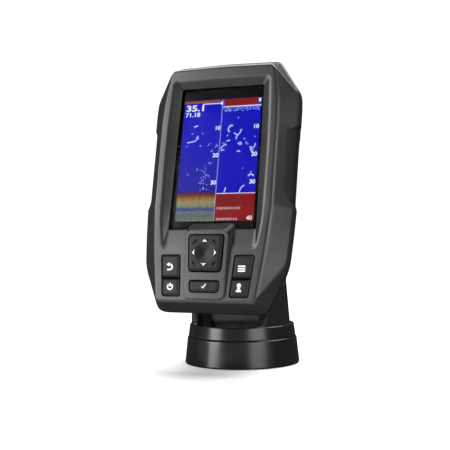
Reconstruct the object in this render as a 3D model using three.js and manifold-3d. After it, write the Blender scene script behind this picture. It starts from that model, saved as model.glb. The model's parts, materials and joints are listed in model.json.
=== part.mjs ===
// Compact fish finder: a sealed display head that lifts out of a tilting cradle, on a swivel base.
// Millimetres, +Z up. The origin is the centre of the base underside, on the swivel axis.
// The screen faces -Y and +X is to the right of someone looking at the screen.
import * as THREE from 'three';
import { mergeVertices } from 'three/addons/utils/BufferGeometryUtils.js';
import Module from 'manifold-3d';

const wasm = await Module();
wasm.setup();

// Driving dimensions: the whole assembly
const CLEARANCE = 0.3;
const HEAD_TILT = THREE.MathUtils.degToRad(13);
const HEAD_ORIGIN = new THREE.Vector3(0, -33, 122.1);
const PIVOT_HEIGHT = 52;

// Driving dimensions: swivel base and yoke
const BASE_FOOT_RADIUS = 35;
const BASE_TOP_RADIUS = 33.4;
const BASE_HEIGHT = 16.3;
const BASE_WALL = 3;
const BASE_HOLE_CIRCLE = 22;
const BASE_HOLE_RADIUS = 2.4;
const PLATE_RADIUS = 31.9;
const RING_BOTTOM_RADIUS = 32.8;
const RING_TOP_RADIUS = 31.8;
const RING_BOTTOM = 16.6;
const RING_TOP = 23.9;
const RECESS_FLOOR = 21.9;
const RECESS_RADIUS = 28.9;
const ARM_OUTER = 25;
const ARM_THICKNESS = 5.5;
const ARM_INNER = ARM_OUTER - ARM_THICKNESS;
const ARM_ROUND_RADIUS = 13;
const WEB_HALF = 16;
const WEB_FRONT = -11;
const WEB_BACK = -7.4;
const WEB_TOP = 37;
const BOLT_RADIUS = 2.9;

// Driving dimensions: depths in the head, measured back from the picture plane
const RIM_FACE = -5.3;
const ISLAND_FACE = -6.3;
const BASIN_FLOOR = -2.7;
const BEZEL_CEILING = -2;
const GLASS_FRONT = -1.7;
const GLASS_BACK = -0.6;
const CREASE_DEPTH = 5;
const BEZEL_BACK = 7.2;
const HOUSING_FRONT = 7.5;
const HOUSING_BACK = 32;
const HOUSING_WALL = 2.5;
const BOARD_FRONT = 8.5;
const BOARD_BACK = 10.1;
const PAD_CENTRE = -56.8;
const SOCKET_HEIGHT = 6;

// Outlines seen from the front: half-width, height and corner radius, from top to bottom.
// All outlines that are lofted into each other have the same number of corners.
const RIM_OUTLINE = [
  [0, 55.6, 8], [31.0, 54.9, 0.8], [32.8, 53.4, 0.8], [35.8, 36, 12], [36.6, 20.5, 0.6], [36.6, 18, 0.6],
  [36.6, -26, 0.6], [36.6, -28.5, 0.6], [34.6, -54, 12], [30.7, -82.6, 0.8], [29.3, -84.2, 0.8],
];
const FLANGE_OUTLINE = [
  [0, 61.3, 8], [31.9, 60.5, 2.2], [45.4, 40.2, 3.5], [45.9, 32, 3], [45.9, 20.5, 0.6], [45.3, 18, 0.6],
  [45.3, -26, 0.6], [46.3, -28.8, 0.6], [45.5, -46, 8], [44.3, -62.8, 5], [33.6, -88.9, 5],
];
const BASIN_TOP = [[0, 49.4, 4], [31.2, 48.6, 2.4], [33.4, 10, 20], [32.6, -38, 12], [29.2, -54, 2.6]];
const BASIN_BOTTOM = [[0, 43.6, 4], [26, 43.6, 1.2], [26.6, 10, 20], [27.1, -30, 12], [27.3, -41.9, 1.2]];
const ISLAND_TOP = [[14.2, -42.9, 4.5], [12.8, -82.7, 4]];
const ISLAND_FOOT = [[15, -38.4, 4.5], [13.5, -83.4, 4]];
const PAD_OUTLINE = [[11.3, -46, 2.6], [10.1, -67.6, 2.6]];
const SELECT_OUTLINE = [[9.6, -72, 2], [8.9, -79.1, 2]];

// Side keys: the pocket's four corners on the right, clockwise from the inner top one
const POCKET_TOP = -57.2;
const POCKET_BOTTOM = -81.4;
const POCKET_SPLIT = -70.8;
const POCKET_INNER_TOP = 16.7;
const POCKET_INNER_BOTTOM = 14.9;
const POCKET_OUTER_TOP = 29;
const POCKET_OUTER_BOTTOM = 26.4;

const finishes = {
  bezel: { color: 0x3b3c3d, roughness: 0.5, metalness: 0 },
  housing: { color: 0x1d1d1e, roughness: 0.6, metalness: 0 },
  mount: { color: 0x202122, roughness: 0.45, metalness: 0 },
  key: { color: 0x29292a, roughness: 0.6, metalness: 0 },
  rubber: { color: 0x111111, roughness: 0.9, metalness: 0 },
  glass: { color: 0x0c0d10, roughness: 0.05, metalness: 0 },
  display: { color: 0x0b12c4, roughness: 0.2, metalness: 0 },
  steel: { color: 0xa9abad, roughness: 0.35, metalness: 1 },
  brass: { color: 0xc8a24a, roughness: 0.35, metalness: 1 },
  board: { color: 0x0d4a2a, roughness: 0.5, metalness: 0 },
  polyimide: { color: 0xb3701d, roughness: 0.4, metalness: 0 },
  ceramic: { color: 0xcfc8b8, roughness: 0.6, metalness: 0 },
  nylon: { color: 0x17181a, roughness: 0.5, metalness: 0 },
};

// Solids

function signedVolume(positions, triangles) {
  const a = new THREE.Vector3();
  const b = new THREE.Vector3();
  const c = new THREE.Vector3();
  let total = 0;
  for (let i = 0; i < triangles.length; i += 3) {
    a.fromArray(positions, 3 * triangles[i]);
    b.fromArray(positions, 3 * triangles[i + 1]);
    c.fromArray(positions, 3 * triangles[i + 2]);
    total += a.dot(b.cross(c)) / 6;
  }
  return total;
}

function solid(geometry) {
  const bare = new THREE.BufferGeometry();
  bare.setAttribute('position', geometry.getAttribute('position'));
  bare.setIndex(geometry.index);
  const merged = mergeVertices(bare, 1e-4);
  const positions = merged.getAttribute('position').array;
  const index = merged.index.array;
  const triangles = [];
  for (let i = 0; i < index.length; i += 3) {
    const [a, b, c] = [index[i], index[i + 1], index[i + 2]];
    if (a !== b && b !== c && c !== a) triangles.push(a, b, c);
  }
  if (signedVolume(positions, triangles) < 0) triangles.reverse();
  const vertProperties = Float32Array.from(positions);
  const triVerts = Uint32Array.from(triangles);
  return new wasm.Manifold(new wasm.Mesh({ numProp: 3, vertProperties, triVerts }));
}

function join(first, ...others) {
  return others.reduce((whole, other) => whole.add(other), first);
}

function cut(first, ...others) {
  return others.reduce((whole, other) => whole.subtract(other), first);
}

function box(x0, x1, y0, y1, z0, z1) {
  const geometry = new THREE.BoxGeometry(x1 - x0, y1 - y0, z1 - z0);
  return solid(geometry.translate((x0 + x1) / 2, (y0 + y1) / 2, (z0 + z1) / 2));
}

function rod(axis, radius, from, to, across = [0, 0], segments = 16) {
  const geometry = new THREE.CylinderGeometry(radius, radius, to - from, segments);
  const middle = (from + to) / 2;
  if (axis === 'x') geometry.rotateZ(Math.PI / 2).translate(middle, across[0], across[1]);
  if (axis === 'y') geometry.translate(across[0], middle, across[1]);
  if (axis === 'z') geometry.rotateX(Math.PI / 2).translate(across[0], across[1], middle);
  return solid(geometry);
}

function ring(axis, inner, outer, from, to, across = [0, 0], segments = 16) {
  const hole = rod(axis, inner, from - 1, to + 1, across, segments);
  return cut(rod(axis, outer, from, to, across, segments), hole);
}

// A profile of [radius, height] points turned about Z
function turned(profile, segments = 36) {
  const points = profile.map(([radius, height]) => new THREE.Vector2(radius, height));
  return solid(new THREE.LatheGeometry(points, segments).rotateX(Math.PI / 2));
}

// A shape drawn in the Y-Z plane and given a width along X
function slab(shape, x0, x1, curveSegments = 8) {
  const geometry = new THREE.ExtrudeGeometry(shape, { depth: x1 - x0, bevelEnabled: false, curveSegments });
  const basis = new THREE.Matrix4().makeBasis(
    new THREE.Vector3(0, 1, 0),
    new THREE.Vector3(0, 0, 1),
    new THREE.Vector3(1, 0, 0),
  );
  return solid(geometry.applyMatrix4(basis).translate(x0, 0, 0));
}

function polygon(points) {
  return new THREE.Shape(points.map(([y, z]) => new THREE.Vector2(y, z)));
}

// Outlines

// Corners [x, z, radius] become an outline with each corner rounded by the same number of steps
function rounded(corners, steps = 1) {
  const outline = [];
  corners.forEach(([x, z, radius], i) => {
    const corner = new THREE.Vector2(x, z);
    const [xBefore, zBefore] = corners.at(i - 1);
    const [xAfter, zAfter] = corners[(i + 1) % corners.length];
    const before = new THREE.Vector2(xBefore, zBefore).sub(corner);
    const after = new THREE.Vector2(xAfter, zAfter).sub(corner);
    const reach = Math.min(radius, 0.45 * before.length(), 0.45 * after.length());
    const start = corner.clone().add(before.setLength(reach));
    const end = corner.clone().add(after.setLength(reach));
    const bend = new THREE.QuadraticBezierCurve(start, corner, end);
    outline.push(...bend.getPoints(steps));
  });
  return outline;
}

// The right half of a symmetric outline, top to bottom, becomes the whole anticlockwise outline
function mirrored(half) {
  const left = half.filter(([x]) => x > 0).map(([x, z, radius]) => [-x, z, radius]);
  const right = [...half].reverse();
  return [...left, ...right];
}

// Clockwise corners on the right become anticlockwise corners on the stated side
function onSide(corners, side) {
  return side > 0 ? [...corners].reverse() : corners.map(([x, z, radius]) => [-x, z, radius]);
}

function inset(half, side, top = side, bottom = side) {
  return half.map(([x, z, radius]) => {
    const newX = x === 0 ? 0 : Math.max(x - side, 1);
    const newZ = z > 0 ? z - top * Math.min(1, z / 40) : z + bottom * Math.min(1, -z / 60);
    return [newX, newZ, radius];
  });
}

// Rings [depth, outline] with equal point counts, front to back, skinned into one closed solid
function loft(rings) {
  const count = rings[0][1].length;
  const positions = rings.flatMap(([depth, outline]) => (
    outline.flatMap((point) => [point.x, depth, point.y])
  ));
  const triangles = [];
  for (let level = 0; level + 1 < rings.length; level += 1) {
    for (let i = 0; i < count; i += 1) {
      const next = (i + 1) % count;
      const a = level * count + i;
      const b = level * count + next;
      const c = a + count;
      const d = b + count;
      triangles.push(a, c, d, a, d, b);
    }
  }
  const back = (rings.length - 1) * count;
  for (const [a, b, c] of THREE.ShapeUtils.triangulateShape(rings[0][1], [])) triangles.push(a, b, c);
  for (const [a, b, c] of THREE.ShapeUtils.triangulateShape(rings.at(-1)[1], [])) {
    triangles.push(back + c, back + b, back + a);
  }
  const geometry = new THREE.BufferGeometry();
  geometry.setAttribute('position', new THREE.Float32BufferAttribute(positions, 3));
  geometry.setIndex(triangles);
  return solid(geometry);
}

function prism(outline, front, back) {
  return loft([[front, outline], [back, outline]]);
}

// Named meshes

const head = new THREE.Group();
head.position.copy(HEAD_ORIGIN);
head.rotation.x = -HEAD_TILT;
const mount = new THREE.Group();
const fishFinder = new THREE.Group();
fishFinder.add(mount, head);

function addPart(group, name, finish, body) {
  const { vertProperties, triVerts, numProp } = body.getMesh();
  const positions = [];
  for (let i = 0; i < vertProperties.length; i += numProp) {
    positions.push(vertProperties[i], vertProperties[i + 1], vertProperties[i + 2]);
  }
  const geometry = new THREE.BufferGeometry();
  geometry.setAttribute('position', new THREE.Float32BufferAttribute(positions, 3));
  geometry.setIndex(Array.from(triVerts));
  const mesh = new THREE.Mesh(geometry, new THREE.MeshStandardMaterial(finishes[finish]));
  mesh.name = name;
  group.add(mesh);
}

// A point of the fixed frame as [depth, height] in the tilted head
function inHead(y, z) {
  const rise = z - HEAD_ORIGIN.z;
  const run = y - HEAD_ORIGIN.y;
  const depth = run * Math.cos(HEAD_TILT) - rise * Math.sin(HEAD_TILT);
  const height = run * Math.sin(HEAD_TILT) + rise * Math.cos(HEAD_TILT);
  return [depth, height];
}

// Swivel base, its cover plate and the centre screw

const DECK_TOP = 12.4;
const DECK_BOTTOM = 9.6;
const HUB_RADIUS = 13;
const BASE_FLOOR_TOP = 4.6;
const PLATE_TOP = 1.5;
const SHANK_RADIUS = 1.3;
const THREAD_HOLE_RADIUS = 1.55;

function baseScrewHoles() {
  return [45, 135, 225, 315].map((degrees) => {
    const angle = THREE.MathUtils.degToRad(degrees);
    const centre = [BASE_HOLE_CIRCLE * Math.cos(angle), BASE_HOLE_CIRCLE * Math.sin(angle)];
    return rod('z', BASE_HOLE_RADIUS, -1, 8, centre, 12);
  });
}

function swivelBase() {
  const wallInside = BASE_TOP_RADIUS - BASE_WALL;
  const plateHole = PLATE_RADIUS + CLEARANCE;
  const hubInside = HUB_RADIUS - 2.5;
  const body = turned([
    [plateHole, 0], [BASE_FOOT_RADIUS - 0.4, 0], [BASE_FOOT_RADIUS, 0.6],
    [BASE_TOP_RADIUS, BASE_HEIGHT - 0.5], [BASE_TOP_RADIUS - 0.6, BASE_HEIGHT],
    [wallInside, BASE_HEIGHT], [wallInside + 0.4, BASE_FLOOR_TOP], [HUB_RADIUS, BASE_FLOOR_TOP],
    [HUB_RADIUS, DECK_TOP], [2.2, DECK_TOP], [2.2, DECK_BOTTOM], [hubInside, DECK_BOTTOM],
    [hubInside, PLATE_TOP + CLEARANCE], [plateHole, PLATE_TOP + CLEARANCE], [plateHole, 0],
  ]);
  return cut(body, ...baseScrewHoles());
}

function centreScrew() {
  const head = rod('z', 4, 5.7, 8.2, [0, 0], 16);
  const drive = box(-0.5, 0.5, -2.6, 2.6, 5, 6.9);
  const crossDrive = box(-2.6, 2.6, -0.5, 0.5, 5, 6.9);
  return cut(join(head, rod('z', SHANK_RADIUS, 8, 17.8, [0, 0], 12)), drive, crossDrive);
}

addPart(mount, 'swivel_base', 'mount', swivelBase());
const basePlate = cut(rod('z', PLATE_RADIUS, 0, PLATE_TOP, [0, 0], 36), ...baseScrewHoles());
addPart(mount, 'base_plate', 'rubber', basePlate);
addPart(mount, 'swivel_friction_ring', 'nylon', ring('z', 3, 9.6, DECK_TOP + CLEARANCE, 13.6, [0, 0], 24));
addPart(mount, 'centre_washer', 'steel', ring('z', 1.9, 6, 8.5, 9.3, [0, 0], 20));
addPart(mount, 'centre_screw', 'steel', centreScrew());

// Yoke: turntable ring with a shallow recess, two arms that rise from its edge, and the web between them

function armShape() {
  const shape = new THREE.Shape();
  shape.moveTo(-24.4, RECESS_FLOOR - 1);
  shape.lineTo(-24, RING_TOP + 0.6);
  shape.lineTo(-20.4, RING_TOP + 3.4);
  shape.lineTo(-19.4, 34);
  shape.lineTo(-ARM_ROUND_RADIUS, PIVOT_HEIGHT - 2);
  shape.absarc(0, PIVOT_HEIGHT, ARM_ROUND_RADIUS, Math.PI, 0, true);
  shape.lineTo(12.8, 49);
  shape.lineTo(18.4, RING_TOP + 1.2);
  shape.lineTo(19.6, RECESS_FLOOR - 1);
  return shape;
}

function yoke() {
  const turntable = turned([
    [0, RING_TOP], [RING_TOP_RADIUS - 0.5, RING_TOP], [RING_TOP_RADIUS, RING_TOP - 0.5],
    [RING_BOTTOM_RADIUS, RING_BOTTOM], [RING_BOTTOM_RADIUS - 2.9, RING_BOTTOM], [28.8, 19.2], [10, 19.2],
    [10, 13.9], [THREAD_HOLE_RADIUS, 13.9], [THREAD_HOLE_RADIUS, 18.5], [0, 18.5],
  ]);
  const recess = rod('z', RECESS_RADIUS, RECESS_FLOOR, RING_TOP + 1, [0, 0], 36)
    .intersect(box(-ARM_INNER - 1, ARM_INNER + 1, -40, 40, 0, 40));
  const withinRing = rod('z', RING_TOP_RADIUS - 0.2, 10, 80, [0, 0], 36);
  const arms = [[ARM_INNER, ARM_OUTER], [-ARM_OUTER, -ARM_INNER]].map(([x0, x1]) => (
    slab(armShape(), x0, x1, 10).intersect(withinRing)
  ));
  const web = box(-WEB_HALF, WEB_HALF, WEB_FRONT, WEB_BACK, RECESS_FLOOR - 1, WEB_TOP);
  const boltHole = rod('x', BOLT_RADIUS + 0.2, -ARM_OUTER - 2, ARM_OUTER + 2, [0, PIVOT_HEIGHT], 24);
  return cut(join(cut(turntable, recess), ...arms, web), boltHole);
}

addPart(mount, 'yoke', 'mount', yoke());

// Tilt pivot: bolt, washers and the clamping knob on the left

const PIVOT = [0, PIVOT_HEIGHT];
const BARREL_HALF = ARM_INNER - 1.2;
const WASHER_OUTER = ARM_INNER - CLEARANCE;
const KNOB_INNER = -ARM_OUTER - 1.4;
const KNOB_OUTER = KNOB_INNER - 12;
const KNOB_RADIUS = 10.4;
const KNOB_LOBES = 6;
const KNOB_LOBE_DEPTH = 0.9;

function tiltBolt() {
  const boltHead = rod('x', 5.8, ARM_OUTER + CLEARANCE, ARM_OUTER + 2.8, PIVOT, 24);
  const shank = rod('x', BOLT_RADIUS, KNOB_OUTER + 3, ARM_OUTER + 0.5, PIVOT, 20);
  const hexDrive = rod('x', 2.2, ARM_OUTER + 1.2, ARM_OUTER + 4, PIVOT, 6);
  return cut(join(boltHead, shank), hexDrive);
}

// The lobed grip swells and shrinks around its edge as a cosine
function lobedOutline(radius) {
  const outline = [];
  const steps = KNOB_LOBES * 5;
  for (let i = 0; i < steps; i += 1) {
    const angle = (2 * Math.PI * i) / steps;
    const reach = radius + KNOB_LOBE_DEPTH * Math.cos(KNOB_LOBES * angle);
    outline.push(new THREE.Vector2(reach * Math.cos(angle), reach * Math.sin(angle)));
  }
  return outline;
}

function tiltKnob() {
  const body = loft([
    [KNOB_OUTER, lobedOutline(KNOB_RADIUS - 1.9)],
    [KNOB_OUTER + 1.2, lobedOutline(KNOB_RADIUS - 0.4)],
    [KNOB_OUTER + 3, lobedOutline(KNOB_RADIUS)],
    [KNOB_INNER - 3, lobedOutline(KNOB_RADIUS - 0.6)],
    [KNOB_INNER - 2, lobedOutline(KNOB_RADIUS - 2.6)],
    [KNOB_INNER, lobedOutline(KNOB_RADIUS - 3)],
  ]);
  const turnToX = new THREE.Matrix4().makeRotationZ(-Math.PI / 2).setPosition(0, 0, PIVOT_HEIGHT);
  const nutPocket = rod('x', 5.4, KNOB_INNER - 5, KNOB_INNER + 2, PIVOT, 6);
  const bore = rod('x', BOLT_RADIUS + 0.3, KNOB_OUTER + 2.4, KNOB_INNER + 2, PIVOT, 20);
  return cut(body.transform(turnToX.elements), nutPocket, bore);
}

addPart(mount, 'tilt_bolt', 'steel', tiltBolt());
const knobWasher = ring('x', 3.3, 7, -ARM_OUTER - 1.1, -ARM_OUTER - CLEARANCE, PIVOT, 24);
addPart(mount, 'knob_washer', 'steel', knobWasher);
addPart(mount, 'tilt_knob', 'mount', tiltKnob());
const knobNut = cut(
  rod('x', 5, KNOB_INNER - 4.7, KNOB_INNER - 0.6, PIVOT, 6),
  rod('x', BOLT_RADIUS + 0.3, KNOB_INNER - 6, KNOB_INNER + 1, PIVOT, 20),
);
addPart(mount, 'knob_nut', 'brass', knobNut);
const rightWasher = ring('x', 3.3, 8, BARREL_HALF + CLEARANCE, WASHER_OUTER, PIVOT, 24);
const leftWasher = ring('x', 3.3, 8, -WASHER_OUTER, -BARREL_HALF - CLEARANCE, PIVOT, 24);
addPart(mount, 'friction_washer_right', 'nylon', rightWasher);
addPart(mount, 'friction_washer_left', 'nylon', leftWasher);

// Cradle: a channel that the rail on the back of the head drops into, with a barrel on the pivot

const RAIL_TOP = -20;
const RAIL_BOTTOM = -64;
const RAIL_STEM_HALF = 12;
const RAIL_FLANGE_HALF = 15.5;
const RAIL_FLANGE_FRONT = 35.4;
const RAIL_BACK = 38.5;
const CRADLE_TOP = -16;
const CRADLE_BOTTOM = -68;
const CRADLE_BACK = 42.4;
const BARREL_RADIUS = 8.3;
const PIVOT_IN_HEAD = inHead(0, PIVOT_HEIGHT);

function cradle() {
  const [pivotDepth, pivotHeight] = PIVOT_IN_HEAD;
  const block = box(-BARREL_HALF, BARREL_HALF, 32.8, CRADLE_BACK, CRADLE_BOTTOM, CRADLE_TOP);
  const ledge = RAIL_BOTTOM - 0.4;
  const stemSlot = box(-RAIL_STEM_HALF - 0.4, RAIL_STEM_HALF + 0.4, 30, RAIL_BACK, ledge, 0);
  const flangeSlot = box(
    -RAIL_FLANGE_HALF - 0.4, RAIL_FLANGE_HALF + 0.4, RAIL_FLANGE_FRONT - 0.4, RAIL_BACK + 0.4, ledge, 0,
  );
  const barrel = rod('x', BARREL_RADIUS, -BARREL_HALF, BARREL_HALF, PIVOT_IN_HEAD, 28);
  const neck = box(-BARREL_HALF, BARREL_HALF, CRADLE_BACK - 1, pivotDepth, pivotHeight - 5, pivotHeight + 5);
  const bore = rod('x', BOLT_RADIUS + 0.3, -BARREL_HALF - 2, BARREL_HALF + 2, PIVOT_IN_HEAD, 20);
  const latchSlot = box(-7.4, 7.4, RAIL_BACK, CRADLE_BACK + 1, -37, CRADLE_TOP + 1);
  return cut(join(block, barrel, neck), stemSlot, flangeSlot, bore, latchSlot);
}

// The latch is a lever in the slot at the top of the cradle, pressed forward against a leaf spring
const LATCH_PIN = [41, -34];

function releaseLatch() {
  const shape = polygon([
    [39.7, -36], [42.2, -36], [42.2, -22], [44.6, -17], [45.6, -12.6], [43.4, -12.2], [41.6, -15.6],
    [39.7, -18],
  ]);
  return cut(slab(shape, -7, 7), rod('x', 0.95, -8, 8, LATCH_PIN, 12));
}

function latchSpring() {
  const shape = polygon([[39.0, -32], [39.3, -32], [39.35, -24], [39.35, -19], [39.1, -19], [39.1, -24]]);
  return slab(shape, -4, 4);
}

addPart(head, 'cradle', 'mount', cradle());
addPart(head, 'release_latch', 'mount', releaseLatch());
addPart(head, 'latch_pin', 'steel', rod('x', 0.65, -7.1, 7.1, LATCH_PIN, 12));
addPart(head, 'latch_spring', 'steel', latchSpring());

// Front bezel

const SCREW_POSTS = [[33, 44], [35.4, -37], [31.5, -72]];
const POST_FRONTS = [BEZEL_CEILING - 1, BEZEL_CEILING - 1, 0.6];
const NOTCH = [[9, -29], [9, 22], [5, 20], [0, 16], [0, -19], [5, -26.5]];
const NOTCH_INNER = 38;

function bothSides(positions) {
  return positions.flatMap(([x, z]) => [[x, z], [-x, z]]);
}

function bezelBody(shrink = 0) {
  return loft([
    [RIM_FACE + shrink, rounded(mirrored(inset(RIM_OUTLINE, 0.7 + shrink)))],
    [RIM_FACE + 0.5 + shrink, rounded(mirrored(inset(RIM_OUTLINE, shrink)))],
    [CREASE_DEPTH, rounded(mirrored(inset(FLANGE_OUTLINE, 0.5 + shrink)))],
    [BEZEL_BACK, rounded(mirrored(inset(FLANGE_OUTLINE, shrink)))],
  ]);
}

function keyPocket(side) {
  const corners = [
    [POCKET_INNER_TOP, POCKET_TOP, 1.4], [POCKET_OUTER_TOP, POCKET_TOP, 1.6],
    [POCKET_OUTER_BOTTOM, POCKET_BOTTOM, 1.6], [POCKET_INNER_BOTTOM, POCKET_BOTTOM, 1.4],
  ];
  return prism(rounded(onSide(corners, side), 2), ISLAND_FACE - 2, 0);
}

function sideNotch(side, slack) {
  const shape = polygon(NOTCH.map(([y, z]) => [y + (y < 5 ? slack : 0), z - Math.sign(z) * slack]));
  const x0 = side > 0 ? NOTCH_INNER + slack : -60;
  const x1 = side > 0 ? 60 : -NOTCH_INNER - slack;
  return slab(shape, x0, x1);
}

function frontBezel() {
  const outer = bezelBody();
  const basin = loft([
    [RIM_FACE - 1, rounded(mirrored(inset(BASIN_TOP, -1.4, -1.4, -4)))],
    [BASIN_FLOOR, rounded(mirrored(BASIN_BOTTOM))],
  ]);
  const window = prism(rounded(mirrored(BASIN_BOTTOM)), BASIN_FLOOR - 1, 12);
  const glassPocket = box(-28.9, 28.9, BEZEL_CEILING, 12, -44.6, 46.4);
  const island = loft([
    [ISLAND_FACE, rounded(mirrored(inset(ISLAND_TOP, 0.5)))],
    [ISLAND_FACE + 0.5, rounded(mirrored(ISLAND_TOP))],
    [BEZEL_CEILING - 0.1, rounded(mirrored(ISLAND_FOOT))],
  ]);
  const hollow = loft([
    [BEZEL_CEILING, rounded(mirrored(inset(RIM_OUTLINE, 2.2)))],
    [CREASE_DEPTH, rounded(mirrored(inset(FLANGE_OUTLINE, 2.8)))],
    [BEZEL_BACK + 1, rounded(mirrored(inset(FLANGE_OUTLINE, 2.7)))],
  ]);
  const posts = bothSides(SCREW_POSTS).map((across, i) => (
    rod('y', 3.4, POST_FRONTS[Math.floor(i / 2)], BEZEL_BACK, across, 12)
  ));
  const threads = bothSides(SCREW_POSTS).map((across) => rod('y', 1.25, 1.4, BEZEL_BACK + 1, across, 10));
  const postsInside = posts.map((post) => post.intersect(outer));
  const shell = join(cut(outer, basin, hollow, window), island, ...postsInside);
  return cut(
    shell,
    ...threads,
    cut(glassPocket, box(-30, 30, -3, 13, -60, -41.9)),
    prism(rounded(mirrored(PAD_OUTLINE), 2), ISLAND_FACE - 1, 0),
    prism(rounded(mirrored(SELECT_OUTLINE), 2), ISLAND_FACE - 1, 0),
    keyPocket(1),
    keyPocket(-1),
    sideNotch(1, 0),
    sideNotch(-1, 0),
  );
}

addPart(head, 'front_bezel', 'bezel', frontBezel());

// Rear housing with the mounting rail, and the grips that come forward into the bezel's notches

const BOARD_POSTS = [[22, 42], [22, -62]];
const COUNTERBORE_FLOOR = 11.2;
const VENT = [25, 22];

function housingBody(wall) {
  const shrunk = (side, top = side, bottom = side) => (
    rounded(mirrored(inset(FLANGE_OUTLINE, side + wall, top + wall, bottom + wall)))
  );
  return loft([
    [HOUSING_FRONT - (wall > 0 ? 1 : 0), shrunk(0)],
    [11.5, shrunk(0.2)],
    [14, shrunk(1.8)],
    [26 - wall, shrunk(5.5, 8, 10)],
    [HOUSING_BACK - wall, shrunk(10, 14, 19)],
  ]);
}

function rearHousing() {
  const outer = housingBody(0);
  const grips = [1, -1].map((side) => bezelBody(0.7).intersect(sideNotch(side, CLEARANCE)));
  const gripRoots = [1, -1].map((side) => {
    const reach = side > 0 ? [NOTCH_INNER + 2, 60] : [-60, -NOTCH_INNER - 2];
    return outer.intersect(box(reach[0], reach[1], HOUSING_FRONT - 1, 10, -26, 18));
  });
  const bridges = [1, -1].map((side) => {
    const inner = side * (NOTCH_INNER + 3);
    const outerEdge = side * 44;
    return box(Math.min(inner, outerEdge), Math.max(inner, outerEdge), 6, 9, -24, 16);
  });
  const tubes = bothSides(SCREW_POSTS).map((across) => (
    rod('y', 4.4, HOUSING_FRONT, HOUSING_BACK - 2, across, 10).intersect(outer)
  ));
  const standoffs = bothSides(BOARD_POSTS).map((across) => (
    rod('y', 2.8, BOARD_BACK + CLEARANCE, HOUSING_BACK - 1, across, 8).intersect(outer)
  ));
  const rail = join(
    box(-RAIL_STEM_HALF, RAIL_STEM_HALF, HOUSING_BACK - 1.5, RAIL_BACK, RAIL_BOTTOM, RAIL_TOP),
    box(-RAIL_FLANGE_HALF, RAIL_FLANGE_HALF, RAIL_FLANGE_FRONT, RAIL_BACK, RAIL_BOTTOM, RAIL_TOP),
  );
  const shell = join(
    cut(outer, housingBody(HOUSING_WALL)), ...grips, ...gripRoots, ...bridges, ...tubes, ...standoffs, rail,
  );
  const screwHoles = bothSides(SCREW_POSTS).flatMap((across) => [
    rod('y', 1.35, 0, HOUSING_BACK + 4, across, 8),
    rod('y', 3.1, COUNTERBORE_FLOOR, HOUSING_BACK + 4, across, 14),
  ]);
  const boardHoles = bothSides(BOARD_POSTS).map((across) => rod('y', 1.1, BOARD_BACK, 17, across, 8));
  const socketHole = rod('y', 9.4, 25, 40, [0, SOCKET_HEIGHT], 24);
  const ventRecess = rod('y', 3.3, HOUSING_BACK - 1, 40, VENT, 20);
  const ventHole = rod('y', 0.8, HOUSING_BACK - 6, 40, VENT, 10);
  return cut(shell, ...screwHoles, ...boardHoles, socketHole, ventRecess, ventHole);
}

addPart(head, 'rear_housing', 'housing', rearHousing());
addPart(head, 'vent_membrane', 'rubber', rod('y', 3, HOUSING_BACK - 0.7, HOUSING_BACK - 0.1, VENT, 20));

// The seal runs inside the joint, and steps inwards past the grips and the screw posts
function sealRegion(step, front, back) {
  const region = prism(rounded(mirrored(inset(FLANGE_OUTLINE, 3.2 + step))), front, back);
  const gripX = NOTCH_INNER - 0.4 - step;
  const grips = [[gripX, 60], [-60, -gripX]].map(([x0, x1]) => (
    box(x0, x1, front - 1, back + 1, -30.5 - step, 23.5 + step)
  ));
  const corners = bothSides(SCREW_POSTS.filter((post, i) => i !== 1));
  const posts = corners.map((across) => rod('y', 4.8 + step, front - 1, back + 1, across, 12));
  return cut(region, ...grips, ...posts);
}

const seal = cut(sealRegion(0, 5.9, 8.9), sealRegion(1, 5, 10));
addPart(head, 'housing_seal', 'rubber', seal);

function screw(radius, headFrom, headTo, shankFrom, headRadius, across) {
  const body = join(
    rod('y', headRadius, headFrom, headTo, across, 12),
    rod('y', radius, shankFrom, headFrom + 0.5, across, 8),
  );
  const [x, z] = across;
  const slot = [
    box(x - 0.35, x + 0.35, headTo - 1, headTo + 1, z - 1.6, z + 1.6),
    box(x - 1.6, x + 1.6, headTo - 1, headTo + 1, z - 0.35, z + 0.35),
  ];
  return cut(body, ...slot);
}

bothSides(SCREW_POSTS).forEach((across, i) => {
  const level = ['upper', 'middle', 'lower'][Math.floor(i / 2)];
  const side = across[0] > 0 ? 'right' : 'left';
  const fastener = screw(1.0, COUNTERBORE_FLOOR + CLEARANCE, 13.9, 1.6, 2.7, across);
  addPart(head, `housing_screw_${level}_${side}`, 'steel', fastener);
});

// Window and display stack

function frameRing(outerX, outerTop, outerBottom, wall, front, back) {
  const outer = box(-outerX, outerX, front, back, outerBottom, outerTop);
  const innerX = outerX - wall;
  return cut(outer, box(-innerX, innerX, front - 1, back + 1, outerBottom + wall, outerTop - wall));
}

const windowGlass = prism(rounded(mirrored([[28.5, 46, 2], [28.5, -41.6, 1]])), GLASS_FRONT, GLASS_BACK);
addPart(head, 'screen_glass', 'glass', windowGlass);
addPart(head, 'glass_gasket', 'rubber', frameRing(28.5, 46, -41.4, 2.4, -0.3, 1));
const LCD_HALF_WIDTH = 25.4;
const LCD_HALF_HEIGHT = 38.6;
const lcd = box(-LCD_HALF_WIDTH, LCD_HALF_WIDTH, -0.3, 2.6, -LCD_HALF_HEIGHT, LCD_HALF_HEIGHT);
const tray = box(-LCD_HALF_WIDTH, LCD_HALF_WIDTH, 2.9, 5.4, -LCD_HALF_HEIGHT, LCD_HALF_HEIGHT);
addPart(head, 'lcd_panel', 'display', lcd);
addPart(head, 'backlight_tray', 'steel', tray);
const ribbonShape = polygon([
  [5.7, -20], [5.95, -20], [5.95, -34], [8.2, -40], [8.2, -48], [7.95, -48], [7.95, -40.2], [5.7, -34.2],
]);
addPart(head, 'lcd_ribbon', 'polyimide', slab(ribbonShape, -9, 9));

// Keypad: caps, silicone mat, dome sheet and its board

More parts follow.
